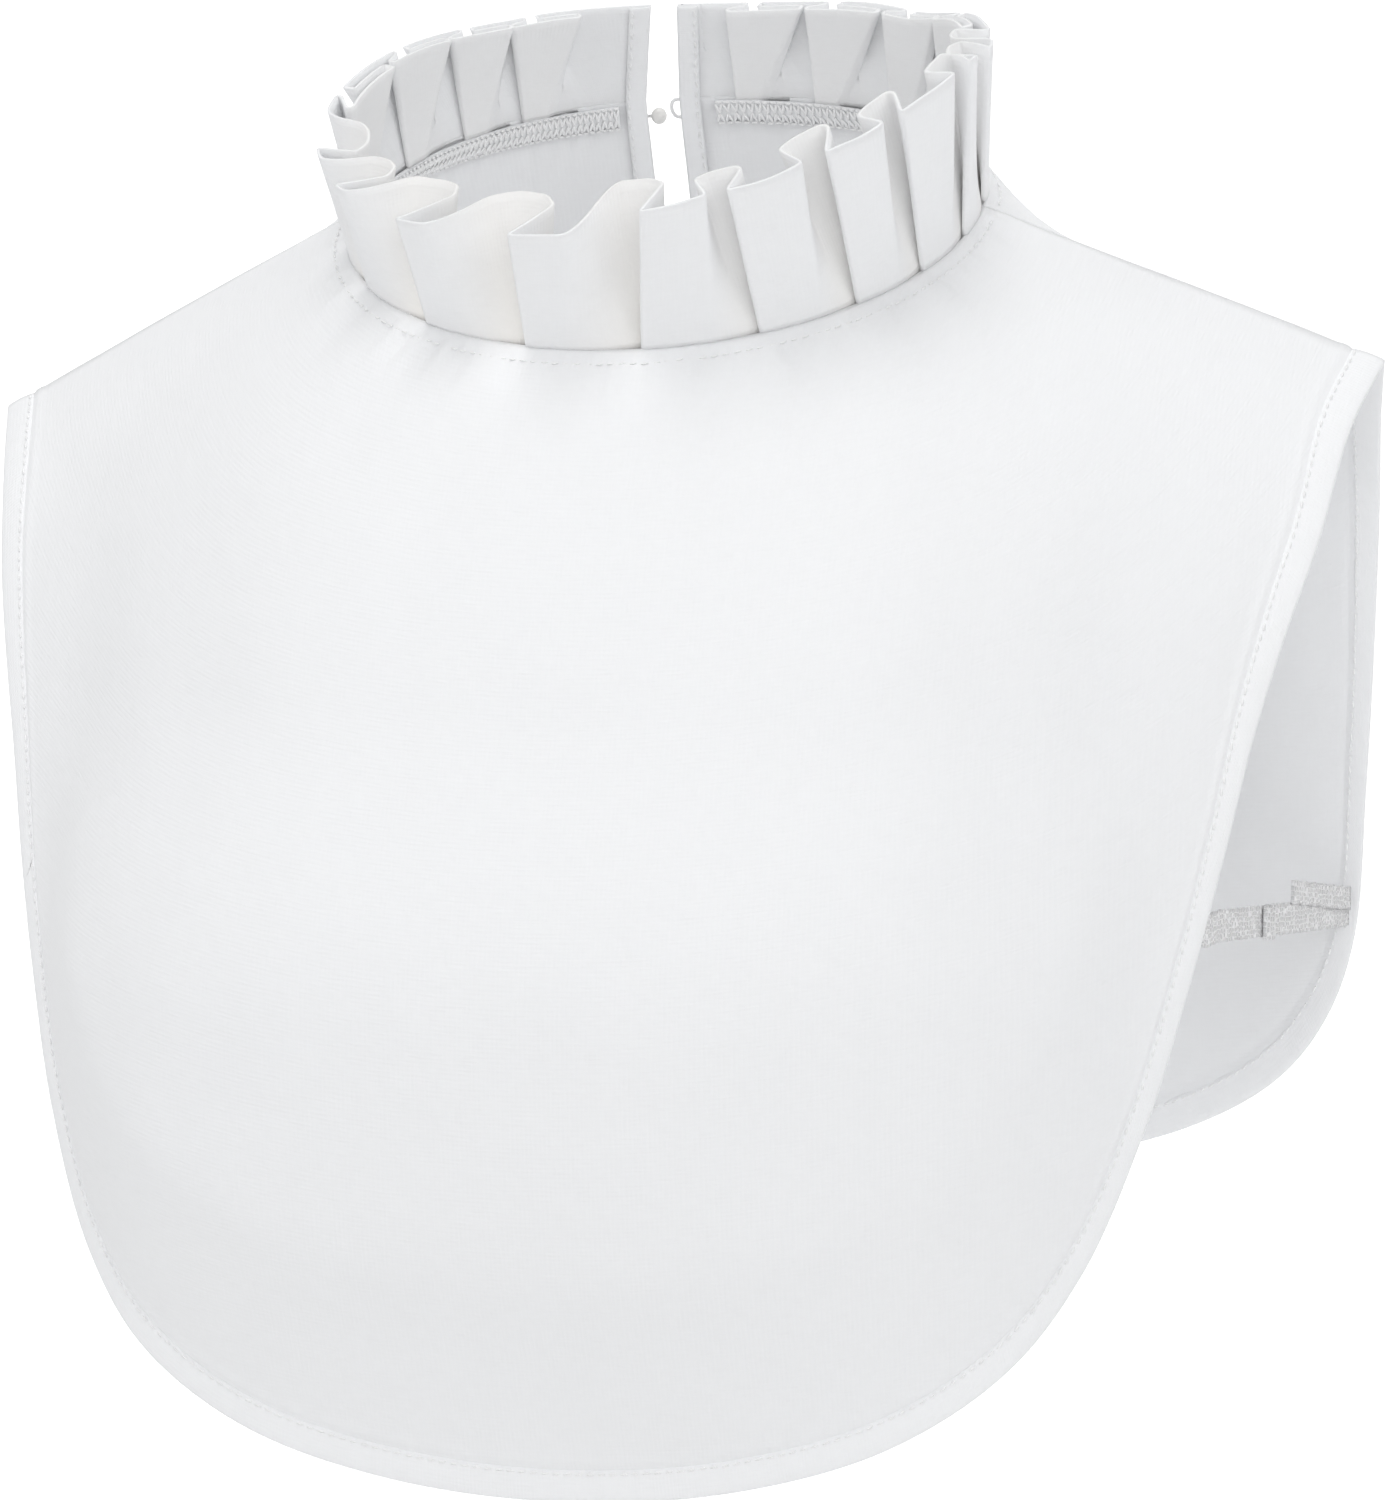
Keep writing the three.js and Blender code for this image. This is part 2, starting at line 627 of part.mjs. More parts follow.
add("front_panel", panel(frontGrid, frontNormals, -1), cotton());
add("back_panel", panel(backGrid, backNormals, 1, inSlit), cotton());
add("binding_front", binding(frontGrid, frontNormals, -1), cotton());
add("binding_back", binding(backGrid, backNormals, 1), cotton());
add("ruffle", ruffle(), cotton());
add("neck_tape", neckTape(), thread());
add("button", button(), pearl());
add("button_loop", buttonLoop(), thread());
for (const [name, side] of [["left", -1], ["right", 1]]) {
  const route = strapRoute(side);
  add(`placket_${name}`, placket(side), cotton());
  add(`strap_${name}`, strap(route, side), elastic());
  add(`strap_joint_${name}`, strapJoint(route, side), elastic());
  add(`strap_tab_${name}`, strapTab(route, side), elastic());
}

export default dickey;
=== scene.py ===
import math
from bisect import bisect_right

import bmesh
import bpy
import numpy as np
from mathutils import Matrix, Vector, noise


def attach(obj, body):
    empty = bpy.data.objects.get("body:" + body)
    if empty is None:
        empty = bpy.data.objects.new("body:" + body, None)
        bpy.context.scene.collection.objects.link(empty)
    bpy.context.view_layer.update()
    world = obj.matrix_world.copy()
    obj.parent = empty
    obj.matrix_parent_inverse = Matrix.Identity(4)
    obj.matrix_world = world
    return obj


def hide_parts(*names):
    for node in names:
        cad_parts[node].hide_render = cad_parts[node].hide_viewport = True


bl_info = {
    "name": "Pleated dickey",
    "version": (1, 0, 0),
    "blender": (4, 5, 0),
    "location": "3D View > Sidebar > Dickey",
    "description": "Builds a cotton dickey with a pleated stand-up ruffle, and its studio",
    "category": "Object",
}

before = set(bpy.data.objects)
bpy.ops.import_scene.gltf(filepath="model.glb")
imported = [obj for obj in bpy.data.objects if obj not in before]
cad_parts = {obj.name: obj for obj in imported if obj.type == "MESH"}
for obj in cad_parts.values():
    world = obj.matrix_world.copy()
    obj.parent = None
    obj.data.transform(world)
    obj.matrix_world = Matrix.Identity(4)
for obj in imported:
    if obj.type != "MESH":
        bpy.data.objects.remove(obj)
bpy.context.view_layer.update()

MM = 0.001
BODY = "root"
SIDES = (("left", -1), ("right", 1))

# The garment's driving sizes, in millimetres
NECK = {"half_wide": 74.5, "half_deep": 63.8, "lean": math.radians(27.9), "back_drop": 5}
FRONT_SWELL = {"shoulder": 0.5, "centre": 33, "power": 1.2, "peak": 0.8, "aside": 0.45}
BACK_SWELL = {"shoulder": 0.5, "centre": 24, "power": 1.9, "peak": 0.95, "aside": 0}
HANG = {"tilt": 0.038, "level_down": 300}
# Fore-and-aft part of the swell's direction at a shoulder; it is 1 more at the middle
SHOULDER_OUT = 0.15

# The front's outer edge, from the shoulder tip to the middle of the hem: half width, forward, down
FRONT_EDGE = [
    (165, -8, 41), (160, 9, 55), (155.5, 24, 78), (150, 37, 98), (145, 47, 118),
    (140, 57, 143), (134, 67, 170), (126, 78, 200), (114, 89, 230), (99, 97, 250),
    (74, 102, 266.5), (40, 103, 277), (0, 102, 281),
]
# Outer edge of the back, the same way: half width, aft, down
BACK_EDGE = [
    (165, 8, 41), (161.5, 24, 55), (159, 37, 75), (156.5, 43, 110), (154, 46, 142),
    (151, 48, 174), (144, 52, 193), (131, 58, 209), (108, 65, 222), (70, 72, 232),
    (35, 75, 236), (0, 76, 237),
]
SLIT = {"middle": -15.5, "half_wide": 4, "down": 0.4}
EDGE_BAND = 7

RUFFLE_FLARE = {"left": 3, "right": 6, "back_share": 0.4}
# Degrees round the neck, from +X by way of the back, and the ruffle's height there
RUFFLE_TALL = [
    (0, 39.5), (22, 34), (50, 26.5), (90, 23.5), (125, 25), (155, 27), (195, 26), (225, 28),
    (256, 31), (267, 31.5), (277, 37), (298, 39.7), (317, 43), (335, 45), (350, 44), (360, 39.5),
]
# Outer fold in degrees, run of the inner fold under the next pleat, its depth, kind of fold,
# and how far the outer fold's top lies along from its foot
PRESSED, ROLLED, FLAT = 0, 1, 2
PLEATS = [
    (111, 4, 4, FLAT, 0), (125, 4, 4, FLAT, 0), (138, 4, 4.5, FLAT, 0), (154, 5, 6, FLAT, 0),
    (174, 5, 12, ROLLED, 0), (195, 5, 15, ROLLED, 0), (213, 5, 19, ROLLED, 0),
    (234, 5.6, 19, ROLLED, 0), (256, 5, 15, ROLLED, 2.3), (277, 4, 10, PRESSED, 5),
    (298, 5, 11, PRESSED, -3.4), (317, 4, 9, PRESSED, -5), (333, 4, 8, PRESSED, -5),
    (348, 5, 10, ROLLED, 2), (362, 5, 9, ROLLED, 0), (377, 4, 5, FLAT, 0), (393, 4, 4, FLAT, 0),
    (410, 4, 4, FLAT, 0), (428, 4, 4, FLAT, 0), (444, 4, 4, FLAT, 0),
]
# Share of the way to the next pleat where a rolled one turns in
ROLL_TURN = {174: 0.45, 195: 0.4, 213: 0.32, 234: 0.42, 256: 0.56, 348: 0.45, 362: 0.45}
BASE_TUCK = 5
RUFFLE_SLIT = {"half_wide": 3, "lean": 3.5}
LAYER = 1.45
RUFFLE_SUNK = 0.9
TAPE = {"below": 0.6, "wide": 5}
PLACKET_WIDE = 5
STRAP = {"wide": 7, "front_down": 156, "back_down": 168, "tucked": 12, "back_in": 2.5}
BUTTON = {"radius": 2.1, "above": -4.5}
LOOP = {"reach": 1.6, "half": 2.4, "radius": 0.45, "above": -3}


# Sizes and colours that a user would change

class DickeySizes(bpy.types.PropertyGroup):
    """Sizes of the cloth and its sewing"""

    cloth_thick: bpy.props.FloatProperty(
        name="Cloth thickness", description="Thickness of one layer of cotton",
        default=0.0005, unit="LENGTH")
    ruffle_thick: bpy.props.FloatProperty(
        name="Ruffle thickness", description="Thickness of the doubled strip",
        default=0.0008, unit="LENGTH")
    stitch_long: bpy.props.FloatProperty(
        name="Stitch length", description="Length of one visible stitch",
        default=0.0018, unit="LENGTH")
    stitch_pitch: bpy.props.FloatProperty(
        name="Stitch pitch", description="From one stitch to the next",
        default=0.0026, unit="LENGTH")
    thread_radius: bpy.props.FloatProperty(
        name="Thread radius", description="Half the thickness of the sewing thread",
        default=0.00027, unit="LENGTH")
    pucker: bpy.props.FloatProperty(
        name="Pucker depth", description="How deep the cloth puckers below the neck seam",
        default=0.0012, unit="LENGTH")


class DickeyColours(bpy.types.PropertyGroup):
    """Colours of the cloth, thread, elastic and button"""

    cotton: bpy.props.FloatVectorProperty(
        name="Cotton", description="Colour of the woven cotton", subtype="COLOR",
        default=(0.915, 0.92, 0.93))
    # Painted warm shade, mixed into the ruffle deep between its pleats and at its foot
    valley_shade: bpy.props.FloatVectorProperty(
        name="Valley", description="Warm tone deep between the pleats", subtype="COLOR",
        default=(0.95, 0.925, 0.885))
    thread: bpy.props.FloatVectorProperty(
        name="Thread", description="Colour of the sewing thread", subtype="COLOR",
        default=(0.95, 0.95, 0.955))
    elastic: bpy.props.FloatVectorProperty(
        name="Elastic", description="Colour of the knitted elastic", subtype="COLOR",
        default=(0.88, 0.88, 0.89))
    button: bpy.props.FloatVectorProperty(
        name="Button", description="Colour of the ball button", subtype="COLOR",
        default=(0.85, 0.84, 0.82))


def sizes():
    return bpy.context.scene.dickey_sizes


def colours():
    return bpy.context.scene.dickey_colours


# The garment's form

def mix(a, b, share):
    return a + (b - a) * share


def smoothstep(low, high, x):
    x = min(max((x - low) / (high - low), 0), 1)
    return x * x * (3 - 2 * x)


def bump(x, wide):
    """1 at nought, falling softly to nothing"""
    return math.exp(-(x / wide) ** 2)


def drift(x, y, z=0):
    """Soft noise, from -1 to 1"""
    return noise.noise(Vector((x, y, z)))


def neck_axis():
    return Vector((0, -math.sin(NECK["lean"]), math.cos(NECK["lean"])))


def neck_point(degrees):
    t = math.radians(degrees)
    deep = NECK["half_deep"] * math.sin(t)
    return Vector((
        NECK["half_wide"] * math.cos(t),
        deep * math.cos(NECK["lean"]),
        deep * math.sin(NECK["lean"]) - NECK["back_drop"] * max(0, math.sin(t)) ** 2,
    ))


def neck_out(degrees):
    """Straight out from the neck seam, in its plane"""
    t = math.radians(degrees)
    across = math.cos(t) / NECK["half_wide"]
    deep = math.sin(t) / NECK["half_deep"]
    lean = NECK["lean"]
    return Vector((across, deep * math.cos(lean), deep * math.sin(lean))).normalized()


class Line:
    """A smooth curve through points, read by its share of length"""

    STEPS = 60

    def __init__(self, points):
        self.points = points
        count = self.STEPS * (len(points) - 1)
        self.samples = [self.between(i / self.STEPS) for i in range(count + 1)]
        self.lengths = [0.0]
        for a, b in zip(self.samples, self.samples[1:]):
            self.lengths.append(self.lengths[-1] + (b - a).length)
        self.length = self.lengths[-1]

    def between(self, t):
        """Centripetal Catmull-Rom between its points"""
        p = self.points
        i = min(int(t), len(p) - 2)
        w = t - i
        p1, p2 = p[i], p[i + 1]
        p0 = p[i - 1] if i > 0 else 2 * p1 - p2
        p3 = p[i + 2] if i + 2 < len(p) else 2 * p2 - p1
        d0, d1, d2 = ((b - a).length ** 0.5 for a, b in ((p0, p1), (p1, p2), (p2, p3)))
        m1 = ((p1 - p0) / d0 - (p2 - p0) / (d0 + d1) + (p2 - p1) / d1) * d1
        m2 = ((p2 - p1) / d1 - (p3 - p1) / (d1 + d2) + (p3 - p2) / d2) * d1
        return (
            p1 + m1 * w
            + (3 * (p2 - p1) - 2 * m1 - m2) * w * w
            + (2 * (p1 - p2) + m1 + m2) * w ** 3
        )

    def at(self, share):
        """The point at a share of the line's length"""
        long = min(max(share, 0), 1) * self.length
        i = min(bisect_right(self.lengths, long) - 1, len(self.samples) - 2)
        step = self.lengths[i + 1] - self.lengths[i]
        return self.samples[i].lerp(self.samples[i + 1], (long - self.lengths[i]) / step)

    def tangent(self, share, step=0.002):
        return (self.at(share + step) - self.at(share - step)).normalized()


def edge_line(half, facing):
    """A panel's whole outer edge, left tip to right tip, from its half table"""
    def hung(wide, fore, down, side):
        tilt = HANG["tilt"] * (1 - down / HANG["level_down"])
        return Vector((side * wide, facing * fore, -down + side * wide * tilt))

    left = [hung(*row, -1) for row in half]
    return Line(left + [hung(*row, 1) for row in reversed(half[:-1])])


front_edge = edge_line(FRONT_EDGE, -1)
back_edge = edge_line(BACK_EDGE, 1)


def column(neck_degrees, edge, edge_share, swell, facing):
    """One column of a panel, as a function of the share of its way from the neck seam to the edge"""
    share = math.sin(edge_share * math.pi)
    side = -1 if edge_share < 0.5 else 1
    quarter = math.sin(2 * math.pi * min(edge_share, 1 - edge_share))
    out = Vector((side * swell["aside"] * quarter, facing * (SHOULDER_OUT + share), 0)).normalized()
    amount = mix(swell["shoulder"], swell["centre"], max(share, 0) ** swell["power"])
    start, stop = neck_point(neck_degrees), edge.at(edge_share)

    def point(down):
        swollen = amount * math.sin(math.pi * max(down, 0) ** swell["peak"])
        return start.lerp(stop, down) + out * swollen

    point.long = (point(0.5) - start).length + (stop - point(0.5)).length
    return point


def front_column(share):
    return column(180 + 180 * share, front_edge, share, FRONT_SWELL, -1)


HALVINGS = 30


def halved(low, high, short):
    """The place between two where a test stops holding"""
    for _ in range(HALVINGS):
        middle = (low + high) / 2
        if short(middle):
            low = middle
        else:
            high = middle
    return low


def back_share_at(x):
    return halved(0.3, 0.7, lambda share: back_edge.at(share).x < x)


def slit_edge(side):
    return SLIT["middle"] + side * SLIT["half_wide"]


def slit_degrees(side):
    return math.degrees(math.acos(slit_edge(side) / NECK["half_wide"]))


SLIT_SHARE = {side: back_share_at(slit_edge(side)) for side in (-1, 1)}


def back_column(side, share):
    """Side -1 is the left half; share 0 is the shoulder and 1 the slit"""
    shoulder, shoulder_share = (180, 0) if side < 0 else (0, 1)
    return column(
        mix(shoulder, slit_degrees(side), share), back_edge,
        mix(shoulder_share, SLIT_SHARE[side], share), BACK_SWELL, 1)


# The slit's strip of the back: its middle and half its width, as shares of the way across
SLIT_PLACE = 0.5
SLIT_HALF = 0.01
BACK_HALF = SLIT_PLACE - SLIT_HALF


def whole_back_column(share):
    """The back from its left shoulder to its right one, with the slit's strip in the middle"""
    if share <= BACK_HALF:
        return back_column(-1, share / BACK_HALF)
    if share >= SLIT_PLACE + SLIT_HALF:
        return back_column(1, (1 - share) / BACK_HALF)
    left, right = back_column(-1, 1), back_column(1, 1)
    way = (share - BACK_HALF) / (2 * SLIT_HALF)

    def point(down):
        return left(down).lerp(right(down), way)

    point.long = left.long
    return point


class Panel:
    """A panel of cloth, read by its shares across and down, both from 0 to 1"""

    STEP = 0.004

    def __init__(self, make, facing):
        self.make, self.facing, self.kept = make, facing, {}

    def column(self, across):
        across = min(max(across, 0), 1)
        if across not in self.kept:
            self.kept[across] = self.make(across)
        return self.kept[across]

    def place(self, across, down):
        return self.column(across)(down)

    def frame(self, across, down):
        """Point, direction to the right, direction down and direction out"""
        d = self.STEP
        p = self.place(across, down)
        right = self.place(min(across + d, 1), down) - self.place(max(across - d, 0), down)
        below = self.place(across, d) - p if down <= 0 else p - self.place(across, max(down - d, 0))
        right, below = right.normalized(), below.normalized()
        out = right.cross(below).normalized() * self.facing
        return p, right, below, out

    def in_from_edge(self, across, far):
        return 1 - far / self.column(across).long

    def below_neck(self, across, far):
        return far / self.column(across).long


FRONT = Panel(front_column, -1)
BACK = Panel(whole_back_column, 1)


NECK_STEP = 0.5
# One and a half turns, because the ruffle's run starts behind and goes all the way round
NECK_TURN = 540


def neck_table():
    lengths = [0.0]
    for i in range(int(NECK_TURN / NECK_STEP)):
        step = neck_point((i + 1) * NECK_STEP) - neck_point(i * NECK_STEP)
        lengths.append(lengths[-1] + step.length)
    return lengths


NECK_LENGTHS = neck_table()


def neck_length(degrees):
    i = int(degrees / NECK_STEP)
    return mix(NECK_LENGTHS[i], NECK_LENGTHS[i + 1], degrees / NECK_STEP - i)


def neck_degrees(length):
    i = bisect_right(NECK_LENGTHS, length) - 1
    low, high = NECK_LENGTHS[i:i + 2]
    return NECK_STEP * (i + (length - low) / (high - low))


def ruffle_height(degrees):
    at = degrees % 360
    i = next(k for k, row in enumerate(RUFFLE_TALL) if row[0] > at)
    (low, low_tall), (high, high_tall) = RUFFLE_TALL[i - 1], RUFFLE_TALL[i]
    return mix(low_tall, high_tall, smoothstep(low, high, at))


def ruffle_flare(degrees):
    t = math.radians(degrees)
    flare = mix(RUFFLE_FLARE["left"], RUFFLE_FLARE["right"], (1 + math.cos(t)) / 2)
    return flare * mix(1, RUFFLE_FLARE["back_share"], max(0, math.sin(t)))


def ruffle_point(along, out, share):
    degrees = neck_degrees(along)
    flared = out + ruffle_flare(degrees) * share
    return (
        neck_point(degrees)
        + neck_out(degrees) * flared
        + neck_axis() * (share * ruffle_height(degrees) - RUFFLE_SUNK * (1 - share))
    )


# Depth of a pleat's layers at the seam, where they are sewn flat, against that at the top
FOOT_DEPTH = 0.45


def pleat_plan(pitch, top_pitch, tuck, deep, fold, turn):
    """A pleat's plan at the seam and at the top: along, out and softness, from its outer fold on"""
    layer, half, p, end = LAYER * FOOT_DEPTH, LAYER / 2, top_pitch, top_pitch + tuck
    base = [
        (0, -layer), (0, 0), (0.3 * pitch, 0), (0.6 * pitch, -0.1), (pitch - 2.5, -0.75 * layer),
        (pitch, -2 * layer), (pitch + BASE_TUCK, -2 * layer), (pitch + BASE_TUCK, -layer),
    ]
    tops = {
        ROLLED: [
            (0.6, -LAYER), (0, 0), ((turn - 0.13) * p, -0.3), (turn * p, -0.35 * deep),
            ((turn + 0.1) * p, -0.82 * deep), (0.78 * p, -deep), (p + 0.3 * tuck, -0.97 * deep),
            (end, -0.74 * deep),
        ],
        PRESSED: [
            (0.6, -LAYER), (0, 0), (0.4 * p, 0), (0.76 * p, -0.6), (0.66 * p, -0.9 * deep),
            (0.85 * p, -deep), (end, -deep), (end + half, -deep + LAYER),
        ],
        FLAT: [
            (0.6, -LAYER), (0, 0), (0.85 * p, 0), (0.85 * p, -deep / 2), (0.28 * p, -deep / 2),
            (0.28 * p, -deep), (end, -deep), (end + half, -deep + LAYER),
        ],
    }
    softness = {
        ROLLED: [0, 0, 1, 1, 1, 1, 0.6, 0.1],
        PRESSED: [0, 0, 0, 0.2, 0.2, 0.2, 0.1, 0.1],
        FLAT: [0] * 8,
    }
    return base, tops[fold], softness[fold]


RUFFLE_START = neck_length(slit_degrees(-1))
RUFFLE_END = neck_length(360 + slit_degrees(1))
SLIT_SPREAD = SLIT["half_wide"] - RUFFLE_SLIT["half_wide"]
RUFFLE_START_TOP = RUFFLE_START - SLIT_SPREAD - RUFFLE_SLIT["lean"]
RUFFLE_END_TOP = RUFFLE_END + SLIT_SPREAD - RUFFLE_SLIT["lean"]


def ruffle_plan():
    """The whole ruffle's plan: rows of along and out at the seam, the same at the top, and softness"""
    plan = [((RUFFLE_START, 0), (RUFFLE_START_TOP, 0), 0)]
    for k, (at, tuck, deep, fold, lean) in enumerate(PLEATS):
        here = neck_length(at)
        last = k + 1 == len(PLEATS)
        following = RUFFLE_END if last else neck_length(PLEATS[k + 1][0])
        next_lean = 0 if last else PLEATS[k + 1][4]
        pitch = following - here
        base, top, softness = pleat_plan(
            pitch, pitch + next_lean - lean, tuck, deep, fold, ROLL_TURN.get(at, 0.5))
        for i in range(1 if k == 0 else 0, 3 if last else len(base)):
            plan.append((
                (here + base[i][0], base[i][1]), (here + lean + top[i][0], top[i][1]), softness[i]))
    flush = PLACKET_WIDE + 1
    plan.append(((RUFFLE_END - flush, 0), (RUFFLE_END_TOP - flush, 0), 0))
    plan.append(((RUFFLE_END, 0), (RUFFLE_END_TOP, 0), 0))
    return plan


PLAN_STEP = 0.7
SMOOTHINGS = 14


def fine_plan():
    """The plan in short steps, with its corners rounded: softly in a roll, closely in a fold"""
    plan = ruffle_plan()
    rows = []
    for (b0, t0, s0), (b1, t1, s1) in zip(plan, plan[1:]):
        long = max(math.dist(t0, t1), math.dist(b0, b1))
        count = max(2, round(long / PLAN_STEP))
        rows += [
            [*(mix(a, b, i / count) for a, b in zip((*b0, *t0, s0), (*b1, *t1, s1)))]
            for i in range(count)
        ]
    rows.append([*plan[-1][0], *plan[-1][1], 0])
    rows = np.array(rows)
    for turn in range(SMOOTHINGS):
        take = 0.5 if turn == 0 else 0.5 * rows[1:-1, 4:5]
        middle = (rows[:-2, :4] + rows[2:, :4]) / 2
        rows[1:-1, :4] += (middle - rows[1:-1, :4]) * take
    return rows


# Making meshes

def mesh_of(name, bm):
    mesh = bpy.data.meshes.new(name)
    bm.to_mesh(mesh)
    bm.free()
    return mesh


def show(name, data):
    obj = bpy.data.objects.new(name, data)
    bpy.context.scene.collection.objects.link(obj)
    return obj


def piece(name, mesh):
    """The object of a finished mesh, on the garment's one body"""
    obj = show(name, mesh)
    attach(obj, BODY)
    return obj


def smooth(bm):
    for face in bm.faces:
        face.smooth = True


def spread(name, across, down, place, facing, uv, relief=None, drop=None):
    """A grid of cloth: its points are placed, then lifted along their normals by the relief"""
    bm = bmesh.new()
    bmesh.ops.create_grid(bm, x_segments=across, y_segments=down, size=0.5)
    smooth(bm)
    shares = []
    for v in bm.verts:
        x, y = v.co.x + 0.5, v.co.y + 0.5
        shares.append((x, y if facing > 0 else 1 - y))
    for v, share in zip(bm.verts, shares):
        v.co = place(*share) * MM
    bm.normal_update()
    if relief:
        for v, share in zip(bm.verts, shares):
            v.co = v.co + v.normal * (relief(*share) * MM)
    layer = bm.loops.layers.uv.new("cloth")
    bm.verts.index_update()
    for face in bm.faces:
        for loop in face.loops:
            loop[layer].uv = uv(*shares[loop.vert.index])
    if drop:
        gone = [
            f for f in bm.faces
            if drop(*(sum(shares[v.index][k] for v in f.verts) / len(f.verts) for k in (0, 1)))
        ]
        bmesh.ops.delete(bm, geom=gone, context="FACES")
    bm.normal_update()
    return piece(name, mesh_of(name, bm))


def thicken(obj, thick, offset=-1):
    mod = obj.modifiers.new("Thickness", "SOLIDIFY")
    mod.thickness = thick
    mod.offset = offset
    mod.use_even_offset = False
    return obj


def one_stitch():
    """A stitch one metre long, wide and tall, to be scaled"""
    bm = bmesh.new()
    lying = Matrix.Rotation(math.pi / 2, 4, "Y")
    bmesh.ops.create_uvsphere(bm, u_segments=6, v_segments=4, radius=0.5, matrix=lying)
    return mesh_of("one_stitch", bm)


# A stitch's width against its thickness
STITCH_FLAT = 1.25


def sew(name, places):
    """Stitches joined into one mesh. A place is middle, half run, out and thickness, in metres"""
    base = one_stitch()
    points = np.array([v.co for v in base.vertices])
    faces = [list(p.vertices) for p in base.polygons]
    bpy.data.meshes.remove(base)
    all_points, all_faces = [], []
    for k, (middle, run, out, thick) in enumerate(places):
        along = run.normalized()
        side = out.cross(along).normalized()
        turn = [along * run.length * 2, side * thick * STITCH_FLAT, along.cross(side) * thick]
        all_points.append(points @ np.array(turn) + np.array(middle))
        all_faces += [[i + k * len(points) for i in f] for f in faces]
    mesh = bpy.data.meshes.new(name)
    mesh.from_pydata(np.concatenate(all_points).tolist(), [], all_faces)
    mesh.shade_smooth()
    return piece(name, mesh)


def walk(path, pitch):
    """Even steps along a path of points and their outward directions, in metres"""
    steps, left = [], pitch / 2
    for (a, out_a), (b, out_b) in zip(path, path[1:]):
        long = (b - a).length
        while left < long:
            share = left / long
            steps.append((a.lerp(b, share), (b - a) / long, out_a.lerp(out_b, share).normalized()))
            left += pitch
        left -= long
    return steps


# How far a stitch turns aside, and how far it bobs, against its length
STITCH_ASIDE = 0.12
STITCH_BOB = 0.05


def running(path, lift, wander=0.00012, seed=0.0):
    """Running stitches along a path"""
    s = sizes()
    places = []
    for k, (p, along, out) in enumerate(walk(path, s.stitch_pitch)):
        sway = drift(k * 0.37, seed) * wander
        side = out.cross(along)
        bob = STITCH_BOB * drift(k * 0.9, seed, 3)
        run = (along + side * STITCH_ASIDE + out * bob).normalized()
        middle = p + out * lift + side * sway
        places.append((middle, run * s.stitch_long / 2, out, s.thread_radius * 2))
    return places


# Materials

class Nodes:
    """Short names for making a material's nodes"""

    def __init__(self, name):
        self.material = bpy.data.materials.new(name)
        self.material.use_nodes = True
        self.tree = self.material.node_tree
        self.shader = self.tree.nodes["Principled BSDF"]
        self.link = self.tree.links.new

    def feed(self, socket, value):
        if isinstance(value, bpy.types.NodeSocket):
            self.link(value, socket)
        else:
            socket.default_value = value

    def add(self, kind, settings=None, **inputs):
        """A node. An input goes by its name, or by i and its number"""
        node = self.tree.nodes.new("ShaderNode" + kind)
        for key, value in (settings or {}).items():
            setattr(node, key, value)
        for key, value in inputs.items():
            numbered = key[0] == "i" and key[1:].isdigit()
            self.feed(node.inputs[int(key[1:]) if numbered else key.replace("_", " ")], value)
        return node

    def place(self):
        return self.add("TexCoord").outputs["Object"]

    def uv(self):
        return self.add("UVMap", {"uv_map": "cloth"}).outputs[0]

    def line(self, value, times, plus=0.0):
        """The value, multiplied and added to"""
        settings = {"operation": "MULTIPLY_ADD"}
        return self.add("Math", settings, i0=value, i1=times, i2=plus).outputs[0]

    def noise(self, vector, scale, detail=3.0, roughness=0.55):
        return self.add(
            "TexNoise", None, Vector=vector, Scale=scale, Detail=detail, Roughness=roughness).outputs["Fac"]

    def waves(self, vector, way, **inputs):
        return self.add("TexWave", {"bands_direction": way}, Vector=vector, **inputs).outputs["Fac"]

    def scaled(self, vector, scale):
        return self.add("Mapping", None, Vector=vector, Scale=scale).outputs[0]

    def ramp(self, value, low, high, start, stop):
        """Goes softly from start to stop while the value goes from low to high"""
        return self.add(
            "MapRange", {"interpolation_type": "SMOOTHSTEP"}, Value=value,
            From_Min=low, From_Max=high, To_Min=start, To_Max=stop).outputs[0]

    def mixed(self, share, a, b):
        node = self.add("Mix", {"data_type": "RGBA"}, Factor=share)
        for number, value in ((6, a), (7, b)):
            linked = isinstance(value, bpy.types.NodeSocket)
            self.feed(node.inputs[number], value if linked else (*value, 1))
        return node.outputs[2]

    def bumped(self, height, distance, strength=1.0, under=None):
        node = self.add("Bump", None, Strength=strength, Distance=distance, Height=height)
        if under is not None:
            self.link(under, node.inputs["Normal"])
        return node.outputs[0]

    def surface(self, colour, normal, rough, **others):
        """Fills the shader's own sockets, and gives the material"""
        sockets = {"Base Color": colour, "Normal": normal, "Roughness": rough, **others}
        for name, value in sockets.items():
            self.feed(self.shader.inputs[name.replace("_", " ")], value)
        return self.material


def tone(colour, by):
    """A colour made darker or lighter, never over white"""
    return tuple(min(x * by, 1) for x in colour)


# Fineness of the yarns, and how the slubs of the weft and the warp are stretched
YARNS = 300.0
SLUBS = ((220.0, 2400.0, 1.0), (2600.0, 180.0, 1.0))
# The crumple's fineness, and its depth in metres
CRUMPLE = {"scale": 34.0, "deep": 0.0016}
WEAVE_DEEP = 0.00016


